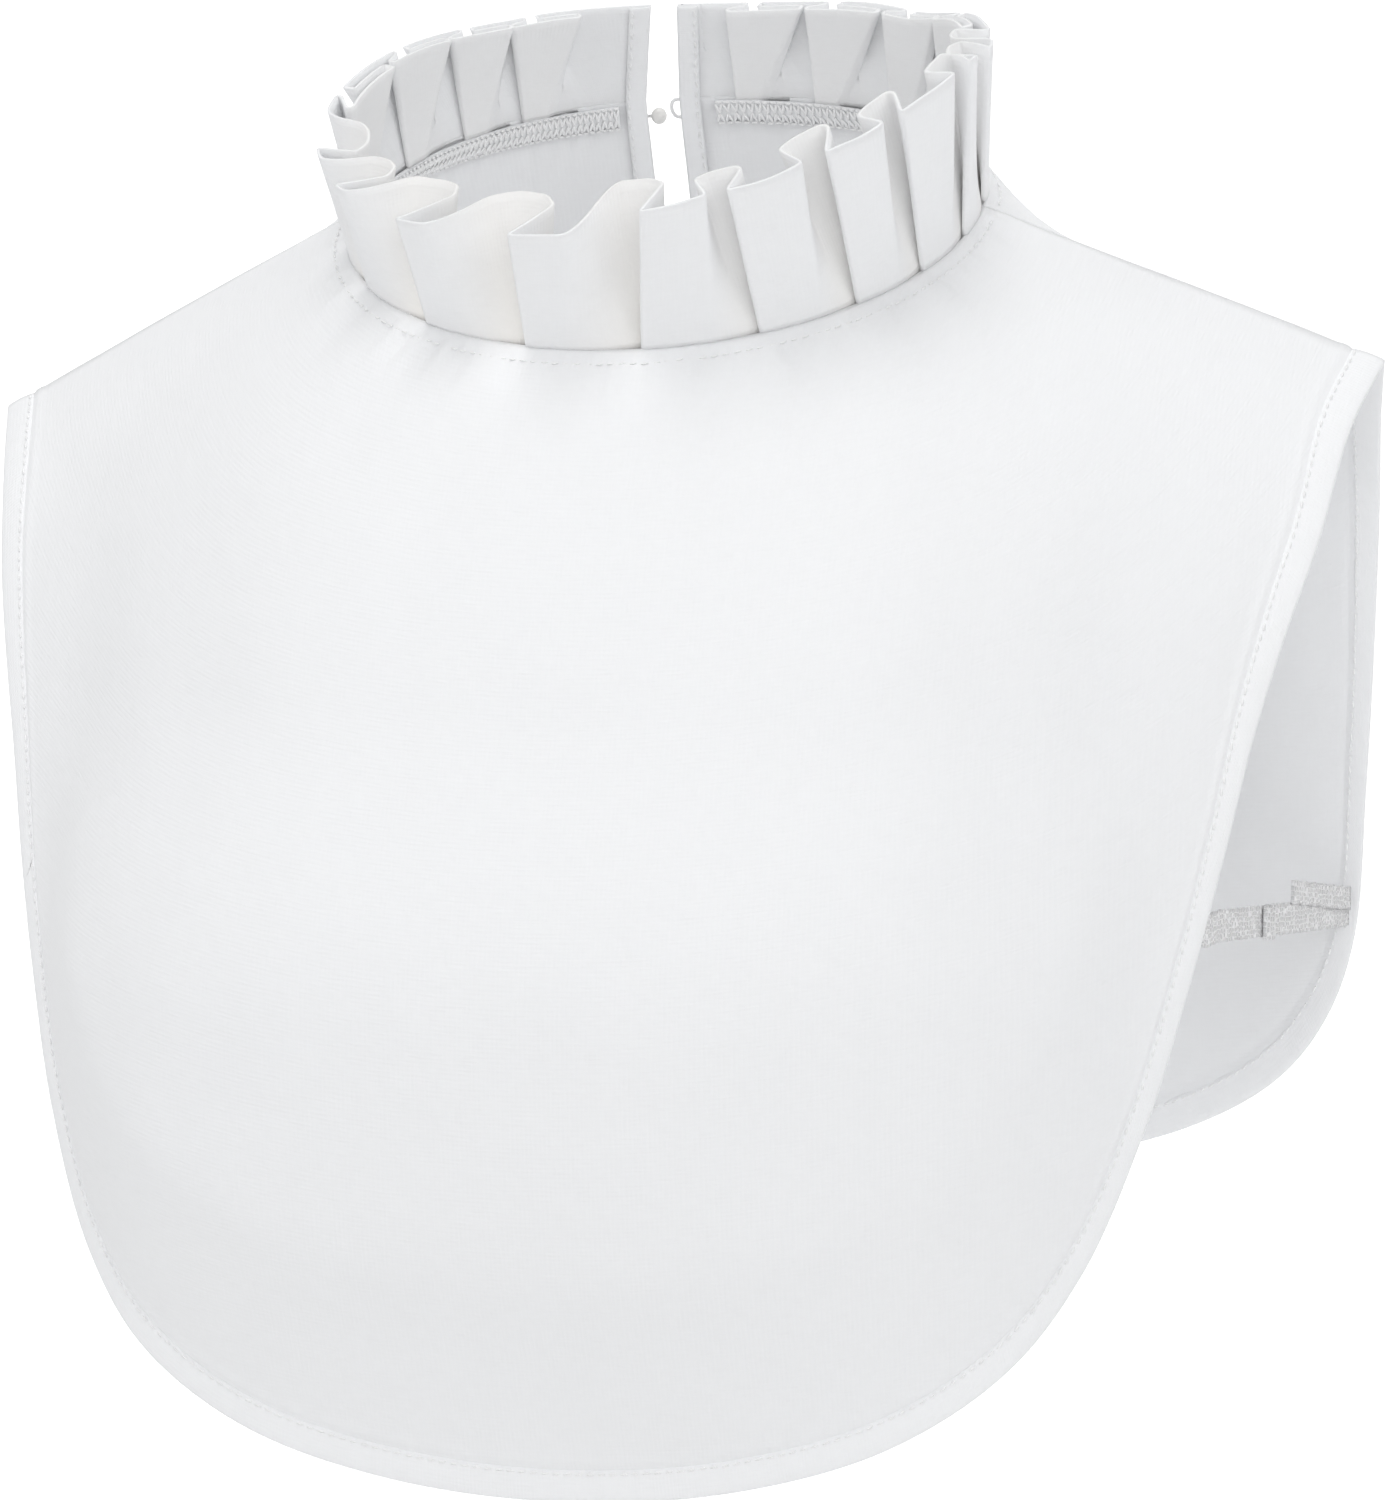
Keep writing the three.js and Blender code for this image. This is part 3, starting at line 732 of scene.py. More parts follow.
def cotton_material(name, crumple, valley_shade=False, light=1.0):
    """Plain-woven cotton: yarns, slubs, a soft crumple, matt with a little sheen"""
    n = Nodes(name)
    uv, place = n.uv(), n.place()
    warp, weft = (n.waves(uv, way, Scale=YARNS, Distortion=0.6, Detail=2.0) for way in ("X", "Y"))
    slub, slub_up = (n.noise(n.scaled(uv, stretch), 1.0, 2.0) for stretch in SLUBS)
    weave = n.line(warp, 0.5, n.line(weft, 0.5))
    threads = n.line(slub, 0.6, n.line(slub_up, 0.4))
    soft = n.noise(place, CRUMPLE["scale"], 4.0, 0.5)
    creased = n.bumped(soft, CRUMPLE["deep"] * crumple, 0.5)
    normal = n.bumped(n.line(weave, 0.35, threads), WEAVE_DEEP, 0.7, creased)
    c = colours()
    cloth = tone(c.cotton, light)
    colour = n.mixed(n.line(threads, 0.9), tone(cloth, 0.94), tone(cloth, 1.02))
    blotch = n.noise(place, 11.0, 2.0)
    cooler = tuple(x * f for x, f in zip(cloth, (0.975, 0.98, 0.99)))
    colour = n.mixed(n.line(blotch, 0.4), colour, cooler)
    # Painted warm shade in the ruffle's fold hollows and at its foot, as much as the depth attribute says
    if valley_shade:
        depth = n.add("Attribute", {"attribute_name": "depth"}).outputs["Fac"]
        colour = n.mixed(n.line(depth, 0.75), colour, tuple(c.valley_shade))
    return n.surface(
        colour, normal, n.line(threads, 0.12, 0.78),
        Sheen_Weight=0.15, Sheen_Roughness=0.5, Specular_IOR_Level=0.25)


def thread_material():
    """Twisted polyester thread with a faint lustre"""
    n = Nodes("sewing thread")
    place = n.place()
    twist = n.waves(place, "DIAGONAL", Scale=900.0, Distortion=1.0)
    base = tuple(colours().thread)
    rough = n.line(n.noise(place, 400.0), 0.2, 0.45)
    colour = n.mixed(twist, tone(base, 0.93), base)
    return n.surface(colour, n.bumped(twist, 0.00006, 0.5), rough, Sheen_Weight=0.2)


def elastic_material():
    """Knitted elastic: an even net of small round meshes, its holes painted darker as painted shade"""
    n = Nodes("knitted elastic")
    cells = n.add(
        "TexVoronoi", {"feature": "DISTANCE_TO_EDGE"}, Vector=n.uv(), Scale=950.0, Randomness=0.5)
    net = n.ramp(cells.outputs["Distance"], 0.05, 0.28, 1.0, 0.0)
    base = tuple(colours().elastic)
    # The holes of the net are painted darker: painted shade in them
    colour = n.mixed(net, tone(base, 0.78), tone(base, 1.06))
    return n.surface(colour, n.bumped(net, 0.0004, 0.9), n.line(net, -0.2, 0.85), Sheen_Weight=0.2)


def button_material():
    """Pearly moulded plastic"""
    n = Nodes("pearl plastic")
    cloud = n.noise(n.place(), 500.0, 3.0)
    base = tuple(colours().button)
    colour = n.mixed(cloud, tone(base, 0.94), base)
    return n.surface(colour, n.bumped(cloud, 0.00005, 0.3), n.line(cloud, 0.15, 0.22), Coat_Weight=0.3)


# Where the backdrop starts to glow and where it glows most, going aft in metres, and how much
GLOW = {"start": 0.5, "stop": 1.6, "most": 0.75}


def floor_material():
    """Matt white paper that glows a little as it nears the backdrop"""
    n = Nodes("studio paper")
    place = n.place()
    grain = n.noise(place, 60.0, 4.0)
    aft = n.add("SeparateXYZ", None, Vector=place).outputs["Y"]
    return n.surface(
        n.mixed(grain, (0.93,) * 3, (0.95,) * 3), n.bumped(grain, 0.0004, 0.1), 0.95,
        Emission_Color=(1, 1, 1, 1),
        Emission_Strength=n.ramp(aft, GLOW["start"], GLOW["stop"], 0.0, GLOW["most"]))


MATERIALS = {}


def finish_of(key):
    """Each material is made once"""
    makers = {
        "panel": lambda: cotton_material("woven cotton", 0.8),
        "band": lambda: cotton_material("bound cotton", 0.4, light=1.03),
        # The pleated cotton takes painted warm shade in its folds
        "ruffle": lambda: cotton_material("pleated cotton", 0.6, True),
        "thread": thread_material,
        "elastic": elastic_material,
        "button": button_material,
        "floor": floor_material,
    }
    if key not in MATERIALS:
        MATERIALS[key] = makers[key]()
    return MATERIALS[key]


def dress(obj, key):
    obj.data.materials.append(finish_of(key))
    return obj


def thread_piece(name, places):
    dress(sew(name, places), "thread")


# Relief of the cloth, in millimetres

FINE_ROWS = 12
MIDDLE_ROWS = 74
ROWS = 2 * FINE_ROWS + MIDDLE_ROWS
FINE_STEP = 1.1
# Columns and rows of the other grids
FRONT_COLUMNS, BACK_COLUMNS, EDGE_COLUMNS = 220, 200, 520
TAPE_GRID, PLACKET_GRID, RUFFLE_ROWS = (420, 6), (8, 60), 16
ELASTIC_ROWS = 10


def row_share(y, long):
    """The rows lie close together at the neck seam and at the outer edge"""
    row = y * ROWS
    fine = FINE_ROWS * FINE_STEP
    if row <= FINE_ROWS:
        return row * FINE_STEP / long
    if row >= ROWS - FINE_ROWS:
        return 1 - (ROWS - row) * FINE_STEP / long
    return (fine + (row - FINE_ROWS) / MIDDLE_ROWS * (long - 2 * fine)) / long


# The pull of the edge's stitches: how deep and how wide, then how far in its fold lies and how wide
HEM_PULL = {"deep": 0.3, "at": 0.3, "wide": 0.8, "fold_at": 2.4, "fold_wide": 1.2}


def hem_groove(far):
    """The pull of the edge's stitches, with the fold that runs just inside them"""
    h, past = HEM_PULL, far - EDGE_BAND
    return h["deep"] * (bump(past - h["fold_at"], h["fold_wide"]) - bump(past - h["at"], h["wide"]))


def soft_noise(p, size, seed):
    return drift(p.x / size, p.y / size, p.z / size + seed)


NECK_RADIUS = 70


def pucker_at(p, below, strength, seed):
    """Small gathers that run down from the neck seam and fade"""
    turn = math.atan2(p.y, p.x) * NECK_RADIUS
    wave = drift(turn / 3.1, seed, below / 16)
    wave += 0.5 * drift(turn / 1.7, seed + 4, below / 9)
    uneven = 0.55 + 0.6 * drift(turn / 28, seed + 9)
    return strength * wave * max(uneven, 0.1) * (bump(below - 3, 5.5) + 0.45 * bump(below, 17))


def crease(p, start, stop, wide, deep):
    """One soft trough between two places, across and up"""
    a, b = Vector(start), Vector(stop)
    q = Vector((p.x, p.z))
    way = min(max((q - a).dot(b - a) / (b - a).length_squared, 0), 1)
    far = (q - a.lerp(b, way)).length
    return -deep * bump(far, wide) * math.sin(math.pi * min(max(way, 0.02), 0.98)) ** 0.6


# Troughs across the front and the back: from, to, half width, depth
FRONT_CREASES = [
    ((82, -220), (104, -224), 1.6, 0.35),
    ((112, -60), (124, -190), 10, 1.2),
    ((86, -50), (104, -175), 12, 0.9),
    ((-128, -70), (-122, -180), 11, 1.1),
    ((-96, -60), (-84, -150), 13, 0.7),
    ((-70, -238), (60, -246), 15, 1.0),
    ((-30, -45), (-38, -120), 9, 0.45),
    ((30, -48), (40, -110), 8, 0.4),
]
BACK_CREASES = [
    ((124, -160), (141, -162), 1.8, 0.8),
    ((118, -60), (126, -165), 9, 1.0),
    ((-118, -60), (-126, -165), 9, 1.0),
    ((60, -30), (78, -120), 11, 0.8),
    ((-70, -30), (-84, -130), 11, 0.8),
    ((-50, -205), (50, -207), 12, 0.9),
]


# The front's foot turns in: its width in from the band, the rise of the cloth above it, how softly
# it turns, and the heights and places across between which it comes and goes
FRONT_FOOT = {
    "wide": 44, "rise": 11, "soft": 0.015, "from_down": 105, "to_down": 175,
    "fade": (10, 120), "least": 0.45,
}


def fullness(p, far):
    """The front bellies out above its turned-in foot, most at the left"""
    f = FRONT_FOOT
    short = 1 - (far - EDGE_BAND - 1) / f["wide"]
    turned = (short + math.sqrt(short * short + f["soft"])) / 2
    low_down = smoothstep(f["from_down"], f["to_down"], -p.z)
    amount = low_down * mix(1, f["least"], smoothstep(*f["fade"], p.x))
    return f["rise"] * amount * max(1 - turned, 0)


# Soft waves of the cloth: height, size, shift of the noise, and where below the neck they come in
SOFT_WAVES = ((0.9, 62, 0, 8, 60), (0.22, 21, 5, 4, 40))


def panel_relief(panel, creases, seed):
    strength = sizes().pucker / MM

    def relief(x, y):
        long = panel.column(x).long
        down = row_share(y, long)
        p = panel.place(x, down)
        below, far = down * long, (1 - down) * long
        rise = sum(crease(p, *row) for row in creases) * smoothstep(0, 30, below)
        for high, size, shift, *reach in SOFT_WAVES:
            rise += high * soft_noise(p, size, seed + shift) * smoothstep(*reach, below)
        rise *= smoothstep(EDGE_BAND - 1, 3 * EDGE_BAND, far)
        rise += pucker_at(p, below, strength, seed) * smoothstep(0, 2.5, below)
        if panel is FRONT:
            rise += fullness(p, far)
        return rise + hem_groove(far)

    return relief


def panel_cloth(name, panel, across, creases, seed, drop=None):
    def down_at(x, y):
        return row_share(y, panel.column(x).long)

    def place(x, y):
        return panel.place(x, down_at(x, y))

    def uv(x, y):
        return place(x, y).x * MM, -down_at(x, y) * panel.column(x).long * MM

    return spread(name, across, ROWS, place, panel.facing, uv, panel_relief(panel, creases, seed), drop)


# Operators, one for each piece or group of like pieces

class DICKEY_OT_front(bpy.types.Operator):
    """Front panel of cotton, from shoulder to shoulder"""

    bl_idname = "dickey.front"
    bl_label = "Front"

    def execute(self, context):
        obj = panel_cloth("front_cloth", FRONT, FRONT_COLUMNS, FRONT_CREASES, 1.0)
        thicken(dress(obj, "panel"), sizes().cloth_thick)
        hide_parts("front_panel")
        return {"FINISHED"}


class DICKEY_OT_back(bpy.types.Operator):
    """Back panel of cotton, slit down from the neck"""

    bl_idname = "dickey.back"
    bl_label = "Back"

    def execute(self, context):
        def in_slit(x, y):
            down = row_share(y, BACK.column(SLIT_PLACE).long)
            return abs(x - SLIT_PLACE) < SLIT_HALF and down < SLIT["down"]

        obj = panel_cloth("back_cloth", BACK, BACK_COLUMNS, BACK_CREASES, 7.0, in_slit)
        thicken(dress(obj, "panel"), sizes().cloth_thick)
        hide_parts("back_panel")
        return {"FINISHED"}


# The bound edge's section: in from the edge, out from the panel
EDGE_SECTION = [
    (7.9, -0.45), (7.2, -0.05), (6.6, 0.04), (5.6, 0.22), (4.2, 0.34), (2.6, 0.36), (1.2, 0.3),
    (0.35, 0.18), (-0.1, -0.05), (-0.15, -0.3), (0.2, -0.6), (1.1, -0.8), (2.6, -0.88), (4.2, -0.88),
    (5.8, -0.8), (7.0, -0.7), (7.7, -0.55),
]
EDGE_SEAM_RISE = -0.3


class DICKEY_OT_edges(bpy.types.Operator):
    """Turned and stitched bands round the edges of the front and the back"""

    bl_idname = "dickey.edges"
    bl_label = "Edge bands"

    def execute(self, context):
        for name, panel, line, node, seed in (
            ("front_edge_band", FRONT, front_edge, "binding_front", 2.0),
            ("back_edge_band", BACK, back_edge, "binding_back", 5.0),
        ):
            obj = self.band(name, panel, seed)
            dress(obj, "band")
            thicken(obj, 0.00015, 0)
            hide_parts(node)
        return {"FINISHED"}

    def band(self, name, panel, seed):
        count = len(EDGE_SECTION) - 1
        frames = {}

        def place(x, y):
            if x not in frames:
                frames[x] = panel.frame(x, 1)
            edge, _, below, out = frames[x]
            inward, rise = EDGE_SECTION[round(y * count)]
            inside = inward > 0
            at = panel.place(x, panel.in_from_edge(x, inward)) if inside else edge - below * inward
            sway = 0.16 * drift(x * 170, seed, inward / 5) * min(max(inward, 0) / 3, 1)
            return at + out * (rise + sway * (1 if rise > EDGE_SEAM_RISE else -1))

        def uv(x, y):
            return x * 0.9, EDGE_SECTION[round(y * count)][0] * MM * (1 if y < 0.5 else -1)

        return spread(name, EDGE_COLUMNS, count, place, panel.facing, uv)


# How the painted warm shade grows with a fold's depth, fades towards the top and gathers at the foot
VALLEY_SHADE = {"gain": 1.25, "power": 1.2, "fade": 0.45, "foot": 0.12}


class DICKEY_OT_ruffle(bpy.types.Operator):
    """Doubled strip in knife pleats that stands at the neck"""

    bl_idname = "dickey.ruffle"
    bl_label = "Ruffle"

    def execute(self, context):
        plan = fine_plan()
        count, rows = len(plan) - 1, RUFFLE_ROWS
        travelled = [0.0]
        for a, b in zip(plan, plan[1:]):
            travelled.append(travelled[-1] + math.dist(a[2:4], b[2:4]))

        def place(x, y):
            row = plan[round(x * count)]
            along, out = mix(row[0], row[2], y), mix(row[1], row[3], y)
            length = travelled[round(x * count)]
            sway = 0.35 * drift(length / 17, y * 1.4, 2) * y
            return ruffle_point(along, out + sway, y)

        def uv(x, y):
            return travelled[round(x * count)] * MM, y * 0.034

        obj = spread("ruffle_cloth", count, rows, place, 1, uv)
        # The depth attribute carries the painted warm shade: most deep in the folds, less towards the top,
        # and some at the foot
        depth = obj.data.attributes.new("depth", "FLOAT", "POINT")
        deepest = max(-row[3] for row in plan)
        width = count + 1
        for i in range(len(obj.data.vertices)):
            x, y = i % width, (i // width) / rows
            low = min(1, VALLEY_SHADE["gain"] * -plan[x][3] / deepest)
            fade = 1 - VALLEY_SHADE["fade"] * y
            foot = VALLEY_SHADE["foot"] * bump(y, VALLEY_SHADE["foot"])
            depth.data[i].value = max(low, 0) ** VALLEY_SHADE["power"] * fade + foot
        thicken(dress(obj, "ruffle"), sizes().ruffle_thick, 0)
        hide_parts("ruffle")
        return {"FINISHED"}


# The share of the neck's run that each half of the back takes
TAPE_BACK = 0.24


def tape_frame(share):
    """Inside the neck: panel and share across, by the share from slit to slit round the front"""
    half_long = neck_length(180) - neck_length(slit_degrees(-1))
    clear = 1 - (PLACKET_WIDE + 1) / half_long
    if share < TAPE_BACK:
        return BACK, (1 - share / TAPE_BACK) * clear * BACK_HALF
    if share > 1 - TAPE_BACK:
        return BACK, 1 - (share - 1 + TAPE_BACK) / TAPE_BACK * clear * BACK_HALF
    return FRONT, (share - TAPE_BACK) / (1 - 2 * TAPE_BACK)


# The overlock's stitches, the reach of the thread past the cloth's edges in mm, its thickness in m
OVERLOCK = {"count": 250, "top": 0.3, "foot": 0.2, "thread": 0.00068}


class DICKEY_OT_tape(bpy.types.Operator):
    """Overlocked seam allowance inside the neck, with its thread"""

    bl_idname = "dickey.tape"
    bl_label = "Neck seam allowance"

    def execute(self, context):
        kept = {}

        def at(x, far, depth):
            key = round(x, 6)
            if key not in kept:
                panel, across = tape_frame(x)
                p, right, _, _ = panel.frame(across, 0)
                down = (panel.place(across, panel.below_neck(across, 6)) - p).normalized()
                kept[key] = (p, down, right.cross(down).normalized() * panel.facing)
            p, down, out = kept[key]
            return p + down * far - out * depth

        def place(x, y):
            wave = 0.3 * drift(x * 60, 3) + 0.12 * math.sin(x * 900)
            return at(x, TAPE["below"] + TAPE["wide"] * y + wave * y, 1.5 + 0.5 * math.sin(math.pi * y))

        obj = spread("neck_overlock", *TAPE_GRID, place, -1, lambda x, y: (x * 0.4, y * 0.005))
        thicken(dress(obj, "band"), 0.0008, 0)
        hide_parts("neck_tape")
        thread_piece("overlock_thread", self.overlock(at))
        return {"FINISHED"}

    @staticmethod
    def overlock(at):
        """Two crossed slants down to the foot, and a run along both edges, for each stitch"""
        places = []
        count = OVERLOCK["count"]
        top, foot = TAPE["below"] + OVERLOCK["top"], TAPE["below"] + TAPE["wide"] + OVERLOCK["foot"]
        for k in range(count):
            a, b = (k + 0.1) / count, (k + 0.9) / count
            jog = 0.35 * drift(k * 0.8, 1)
            middle, level = (a + b) / 2, (top + foot) / 2
            runs = [
                ((a, top, 2.55), (middle, level + jog, 2.7)),
                ((b, top + 0.2, 2.6), (middle, level + jog, 2.75)),
                ((middle, level + jog, 2.6), (a, foot + jog, 2.3)),
                ((middle, level + jog, 2.65), (b, foot - jog, 2.3)),
                ((a, top - 0.2, 2.5), (b, top - 0.3 + jog / 2, 2.5)),
                ((a, foot + 0.2, 2.1), (b, foot + 0.35 + jog, 2.2)),
            ]
            inward = (at(*runs[0][1]) - at(middle, level, 0)).normalized()
            for start, stop in runs:
                p, q = at(*start), at(*stop)
                places.append(((p + q) / 2 * MM, (q - p) * 0.55 * MM, inward, OVERLOCK["thread"]))
        return places


# The share of a slit band's rows that lies on the ruffle
ON_RUFFLE = 0.52


def placket_place(side, x, y, depth):
    """x is 0 at the slit; y is 0 at the ruffle's top edge and 1 at the slit's foot"""
    wide = PLACKET_WIDE * x
    swell = 0.25 * math.sin(math.pi * x)
    if y < ON_RUFFLE:
        share = mix(1, 0.04, y / ON_RUFFLE)
        start, top = (RUFFLE_START, RUFFLE_START_TOP) if side < 0 else (RUFFLE_END, RUFFLE_END_TOP)
        return ruffle_point(mix(start, top, share) - side * wide, -depth - swell, share)
    down = mix(0.012, SLIT["down"], (y - ON_RUFFLE) / (1 - ON_RUFFLE))
    across = SLIT_PLACE + side * SLIT_HALF
    _, right, _, out = BACK.frame(across + side * BACK.STEP, down)
    return BACK.place(across, down) + right * side * wide - out * (depth + 0.4 + swell)


class DICKEY_OT_plackets(bpy.types.Operator):
    """Narrow folded bands down both edges of the back slit"""

    bl_idname = "dickey.plackets"
    bl_label = "Slit bands"

    def execute(self, context):
        for name, side in SIDES:
            obj = spread(
                f"slit_band_{name}", *PLACKET_GRID, lambda x, y: placket_place(side, x, y, 1.0), side,
                lambda x, y: (x * 0.005, y * 0.09))
            dress(obj, "band")
            thicken(obj, 0.0005, 0)
            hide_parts(f"placket_{name}")
        return {"FINISHED"}


# The button's stand-off from its edge, its flatness, and the threads of its shank
BALL = {"off": 0.6, "flat": (0.96, 0.96, 0.9)}
SHANK = {"threads": 5, "radius": 0.35, "rooted": 1.2, "thick": 0.0003}
LOOP_STEPS = 12


class DICKEY_OT_fastening(bpy.types.Operator):
    """Ball button on its thread shank, and the thread loop that takes it"""

    bl_idname = "dickey.fastening"
    bl_label = "Button and loop"

    def execute(self, context):
        self.button()
        self.loop()
        return {"FINISHED"}

    def button(self):
        radius = BUTTON["radius"]
        edge = neck_point(slit_degrees(-1)) + neck_axis() * BUTTON["above"]
        middle = edge + Vector((radius + BALL["off"], 0, 0))
        turned = Matrix.Rotation(math.pi / 2, 4, "Y") @ Matrix.Diagonal((*BALL["flat"], 1))
        bm = bmesh.new()
        bmesh.ops.create_uvsphere(
            bm, u_segments=32, v_segments=20, radius=radius * MM,
            matrix=Matrix.Translation(middle * MM) @ turned)
        smooth(bm)
        bm.normal_update()
        ball = dress(piece("ball_button", mesh_of("ball_button", bm)), "button")
        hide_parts("button")
        shank = []
        for k in range(SHANK["threads"]):
            turn = math.radians(360 / SHANK["threads"] * k)
            off = Vector((0, math.cos(turn), math.sin(turn))) * SHANK["radius"]
            a = edge + off + Vector((-SHANK["rooted"], 0, 0))
            b = middle + off * 0.8 - Vector((radius * 0.8, 0, 0))
            shank.append(((a + b) / 2 * MM, (b - a) * 0.55 * MM, off.normalized(), SHANK["thick"]))
        thread_piece("button_shank", shank)

    def loop(self):
        """A half round of thread, with both ends sewn in"""
        start = neck_point(slit_degrees(1)) + neck_axis() * LOOP["above"]

        def beside(right, aft, up):
            return start + Vector((right, aft, 0)) + neck_axis() * up

        path = [beside(1.4, -0.4, -LOOP["half"])]
        for k in range(LOOP_STEPS + 1):
            t = math.pi * (k / LOOP_STEPS - 0.5)
            path.append(beside(-0.75 - LOOP["reach"] * math.cos(t), 0, LOOP["half"] * math.sin(t)))
        path.append(beside(1.4, -0.4, LOOP["half"]))
        curve = bpy.data.curves.new("loop_thread", "CURVE")
        curve.dimensions = "3D"
        curve.bevel_depth = LOOP["radius"] * MM
        curve.bevel_resolution = 3
        curve.use_fill_caps = True
        spline = curve.splines.new("NURBS")
        spline.points.add(len(path) - 1)
        for point, p in zip(spline.points, path):
            point.co = (*(p * MM), 1)
        spline.use_endpoint_u = True
        loop = dress(as_mesh("loop_thread", curve), "thread")
        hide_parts("button_loop")


def as_mesh(name, curve):
    """A curve's mesh, with its place in its points"""
    holder = show(name + "_line", curve)
    bpy.context.view_layer.update()
    shaped = holder.evaluated_get(bpy.context.evaluated_depsgraph_get())
    mesh = bpy.data.meshes.new_from_object(shaped)
    bpy.data.objects.remove(holder)
    bpy.data.curves.remove(curve)
    mesh.name = name
    mesh.shade_smooth()
    return piece(name, mesh)


def share_down(edge, side, down):
    """The share along an edge that lies so far down, on one side"""
    return halved(0 if side < 0 else 1, 0.5, lambda share: -edge.at(share).z < down)


def strap_route(side):
    """The line of an elastic, from inside the front's edge to inside the back's"""
    f = share_down(front_edge, side, STRAP["front_down"])
    b = share_down(back_edge, side, STRAP["back_down"])
    if side < 0:
        across = b / SLIT_SHARE[-1] * BACK_HALF
    else:
        across = 1 - (1 - b) / (1 - SLIT_SHARE[1]) * BACK_HALF
    ends = []
    for panel, x, far, clear in (
        (FRONT, f, STRAP["tucked"], 1.7), (FRONT, f, 0, 2.9), (BACK, across, STRAP["back_in"], 2.3),
    ):
        p, _, _, out = panel.frame(x, panel.in_from_edge(x, far))
        ends.append(p - out * clear)
    inner, front, back = ends
    return Line([inner, front, front.lerp(back, 0.12), front.lerp(back, 0.88), back])


# Span along the elastic, width, steps, out from it, up on it, roll of its face and sink of its end
STRAP_BAND = {
    "span": (0, 1), "wide": STRAP["wide"], "steps": 120, "out": 0, "up": 0, "roll": 0, "sink": 0,
}
JOIN_BAND = {
    "span": (0.45, 0.51), "wide": STRAP["wide"] + 0.6, "steps": 14,
    "out": 0.9, "up": -0.3, "roll": 0.8, "sink": 0,
}
END_BAND = {
    "span": (0.62, 0.985), "wide": 5.2, "steps": 30, "out": 0.9, "up": 6.0, "roll": 0, "sink": 0.5,
}


class DICKEY_OT_straps(bpy.types.Operator):
    """Knitted elastics below the armholes, each with its folded join and turned-back end"""

    bl_idname = "dickey.straps"
    bl_label = "Elastics"

    def execute(self, context):
        for name, side in SIDES:
            route = strap_route(side)
            strap = self.band(f"elastic_{name}", route, side, STRAP_BAND)
            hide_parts(f"strap_{name}")
            join = self.band(f"elastic_join_{name}", route, side, JOIN_BAND)
            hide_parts(f"strap_joint_{name}")
            end = self.band(f"elastic_end_{name}", route, side, END_BAND)
            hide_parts(f"strap_tab_{name}")
        return {"FINISHED"}

    @staticmethod
    def band(name, route, side, form):
        wide, steps, span = form["wide"], form["steps"], form["span"]

        def place(x, y):
            at = mix(*span, x)
            along = route.tangent(min(max(at, 0.004), 0.996))
            out = along.cross(Vector((0, 0, 1))).normalized() * side
            up = out.cross(along).normalized() * side
            ripple = 0.22 * drift(x * 22, y * 2, side) + form["roll"] * math.sin(math.pi * x)
            edge = 0.18 * math.sin(x * steps * 1.3) * (2 * y - 1)
            rise = form["up"] * (1 - form["sink"] * x) + wide * (y - 0.5) + edge
            return route.at(at) + out * (form["out"] + ripple) + up * rise

        long = (span[1] - span[0]) * route.length
        obj = spread(name, steps, ELASTIC_ROWS, place, -side, lambda x, y: (x * long * MM, y * wide * MM))
        dress(obj, "elastic")
        return thicken(obj, 0.0006, 0)


def panel_path(panel, span, steps, down_at, lift=0.0):
    """Places along a panel and the way out from it, in metres; a negative lift goes inside"""
    path = []
    for k in range(steps + 1):
        x = mix(*span, k / steps)
        p, _, _, out = panel.frame(x, down_at(x))
        path.append((p * MM + out * lift, -out if lift < 0 else out))
    return path


# Lift off the cloth in m and distance in from the edge in mm, outside and inside
EDGE_SEAMS = ((0.00026, EDGE_BAND - 0.25), (-0.00086, EDGE_BAND - 0.2))
# The shares across each panel where its neck seam is sewn, and how far down in mm
NECK_SEAMS = ((FRONT, (0.01, 0.99)), (BACK, (0.01, 0.475)), (BACK, (0.525, 0.99)))
NECK_SEAM_DOWN = 3.4
# The slit stitches' share across their band, their depth in mm and the steps of their path
SLIT_SEAM = {"across": 0.84, "depth": 1.35, "steps": 90}


class DICKEY_OT_stitching(bpy.types.Operator):
    """Running stitches at the neck seam, the edges and the slit"""

    bl_idname = "dickey.stitching"
    bl_label = "Stitching"

    def execute(self, context):
        for name, panel, seed in (("front", FRONT, 1.0), ("back", BACK, 2.0)):
            places = []
            for lift, far in EDGE_SEAMS:
                path = panel_path(panel, (0, 1), 400, lambda x: panel.in_from_edge(x, far), lift)
                places += running(path, 0, seed=seed)
            thread_piece(f"edge_stitching_{name}", places)
        places = []
        for panel, span in NECK_SEAMS:
            path = panel_path(panel, span, 160, lambda x: panel.below_neck(x, NECK_SEAM_DOWN))
            places += running(path, 0.0002, 0.0003, 5.0)
        thread_piece("neck_stitching", places)
        places = []
        across, depth, steps = SLIT_SEAM["across"], SLIT_SEAM["depth"], SLIT_SEAM["steps"]
        for _, side in SIDES:
            path = []
            for k in range(steps + 1):
                y = mix(0.01, 0.98, k / steps)
                p = placket_place(side, across, y, depth)
                q = placket_place(side, across, y, depth + 1)
                path.append((p * MM, (q - p).normalized()))
            places += running(path, sizes().thread_radius * 0.4, 0.0004, 8.0 + side)
        thread_piece("slit_stitching", places)
        return {"FINISHED"}


# The paper's height, width, front edge and length, where it curves up and how widely, in metres
FLOOR = {"low": -0.62, "wide": 12, "front": -3.2, "long": 8.4, "turn_at": 2.4, "turn_by": 0.8}
# Place, size, power and tint of each soft light
LAMPS = (
    ("key", (-0.2, -0.7, 2.4), 1.2, 13.5, (1, 0.998, 0.99)),
    ("front", (0.6, -1.9, 0.3), 1.0, 5.2, (1, 1, 1)),
    ("right", (1.5, -1.1, 0.9), 1.6, 10.8, (0.985, 0.992, 1)),
    ("left", (-1.5, -1.1, 0.8), 1.6, 10.2, (0.985, 0.992, 1)),
    ("top", (0.1, 0.35, 1.9), 1.4, 7.2, (1, 1, 1)),
)
LAMPS_AIM = (0, -0.02, -0.12)
WORLD_LIGHT = 0.36


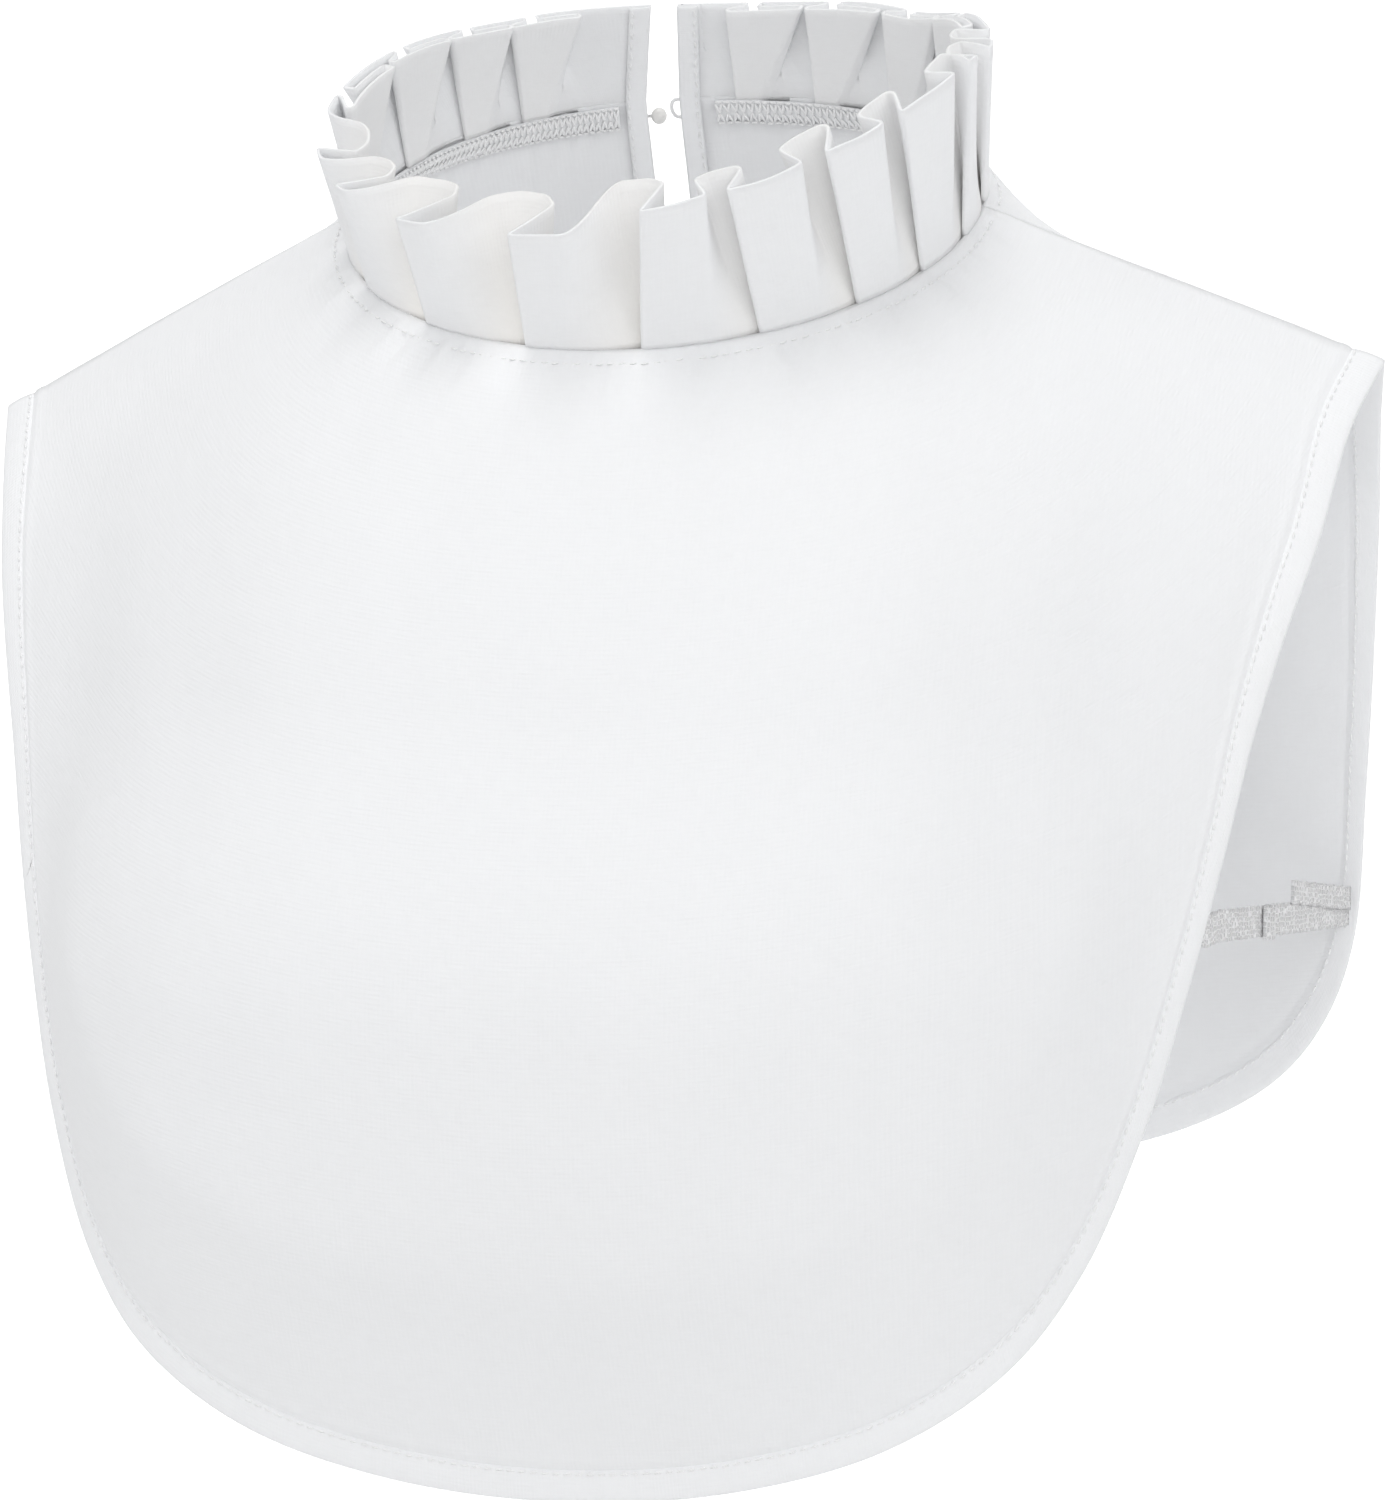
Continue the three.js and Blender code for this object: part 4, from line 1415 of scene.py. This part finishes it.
class DICKEY_OT_stage(bpy.types.Operator):
    """Pale floor with a curved backdrop, soft studio lights and the camera"""

    bl_idname = "dickey.stage"
    bl_label = "Studio"

    TURN, RISE, ROLL = math.radians(15), math.radians(6), math.radians(0.8)
    FAR, LENS = 1.6, 167.04
    AIM_RIGHT, AIM_UP = 0.00494, -0.1248

    def execute(self, context):
        self.camera()
        self.floor()
        self.lights()
        return {"FINISHED"}

    def camera(self):
        a, e = self.TURN, self.RISE
        back = Vector((math.sin(a) * math.cos(e), -math.cos(a) * math.cos(e), math.sin(e)))
        right = Vector((math.cos(a), math.sin(a), 0))
        up = back.cross(right)
        place = back * self.FAR + right * self.AIM_RIGHT + up * self.AIM_UP
        turned = right * math.cos(self.ROLL) - up * math.sin(self.ROLL)
        raised = right * math.sin(self.ROLL) + up * math.cos(self.ROLL)
        data = bpy.data.cameras.new("camera")
        data.lens = self.LENS
        data.sensor_width = 36
        data.clip_end = 50
        cam = show("camera", data)
        cam.matrix_world = Matrix((turned, raised, back)).transposed().to_4x4()
        cam.location = place
        bpy.context.scene.camera = cam

    def floor(self):
        low, turn_at, by = FLOOR["low"], FLOOR["turn_at"], FLOOR["turn_by"]
        arc = by * math.pi / 2
        bm = bmesh.new()
        bmesh.ops.create_grid(bm, x_segments=8, y_segments=60, size=0.5)
        for v in bm.verts:
            along = (v.co.y + 0.5) * FLOOR["long"] + FLOOR["front"]
            past = along - turn_at
            if past < 0:
                aft, up = along, 0
            elif past < arc:
                aft, up = turn_at + by * math.sin(past / by), by * (1 - math.cos(past / by))
            else:
                aft, up = turn_at + by, by + past - arc
            v.co = (v.co.x * FLOOR["wide"], aft, low + up)
        smooth(bm)
        obj = show("floor", mesh_of("floor", bm))
        obj.data.materials.append(finish_of("floor"))

    def lights(self):
        for name, place, size, power, tint in LAMPS:
            data = bpy.data.lights.new(name, "AREA")
            data.shape = "DISK"
            data.size = size
            data.energy = power
            data.color = tint
            lamp = show(name, data)
            lamp.location = place
            lamp.rotation_mode = "QUATERNION"
            lamp.rotation_quaternion = (Vector(LAMPS_AIM) - Vector(place)).to_track_quat("-Z", "Y")
        world = bpy.data.worlds.new("studio")
        world.use_nodes = True
        background = world.node_tree.nodes["Background"]
        background.inputs["Color"].default_value = (1, 1, 1, 1)
        background.inputs["Strength"].default_value = WORLD_LIGHT
        bpy.context.scene.world = world
        bpy.context.scene.view_settings.view_transform = "Standard"


OPERATORS = (
    DICKEY_OT_stage, DICKEY_OT_front, DICKEY_OT_back, DICKEY_OT_edges, DICKEY_OT_ruffle,
    DICKEY_OT_tape, DICKEY_OT_plackets, DICKEY_OT_fastening, DICKEY_OT_straps, DICKEY_OT_stitching,
)


class DICKEY_PT_panel(bpy.types.Panel):
    """Sizes, colours and pieces of the dickey"""

    bl_idname = "DICKEY_PT_panel"
    bl_label = "Dickey"
    bl_space_type = "VIEW_3D"
    bl_region_type = "UI"
    bl_category = "Dickey"

    def draw(self, context):
        for group in (context.scene.dickey_sizes, context.scene.dickey_colours):
            for name in group.__annotations__:
                self.layout.prop(group, name)
        for operator in OPERATORS:
            self.layout.operator(operator.bl_idname)


CLASSES = (DickeySizes, DickeyColours, *OPERATORS, DICKEY_PT_panel)


def register():
    for cls in CLASSES:
        bpy.utils.register_class(cls)
    bpy.types.Scene.dickey_sizes = bpy.props.PointerProperty(type=DickeySizes)
    bpy.types.Scene.dickey_colours = bpy.props.PointerProperty(type=DickeyColours)


def unregister():
    del bpy.types.Scene.dickey_colours
    del bpy.types.Scene.dickey_sizes
    for cls in reversed(CLASSES):
        bpy.utils.unregister_class(cls)


def main():
    register()
    bpy.ops.dickey.stage()
    bpy.ops.dickey.front()
    bpy.ops.dickey.back()
    bpy.ops.dickey.edges()
    bpy.ops.dickey.ruffle()
    bpy.ops.dickey.tape()
    bpy.ops.dickey.plackets()
    bpy.ops.dickey.fastening()
    bpy.ops.dickey.straps()
    bpy.ops.dickey.stitching()


if __name__ == "__main__":
    main()
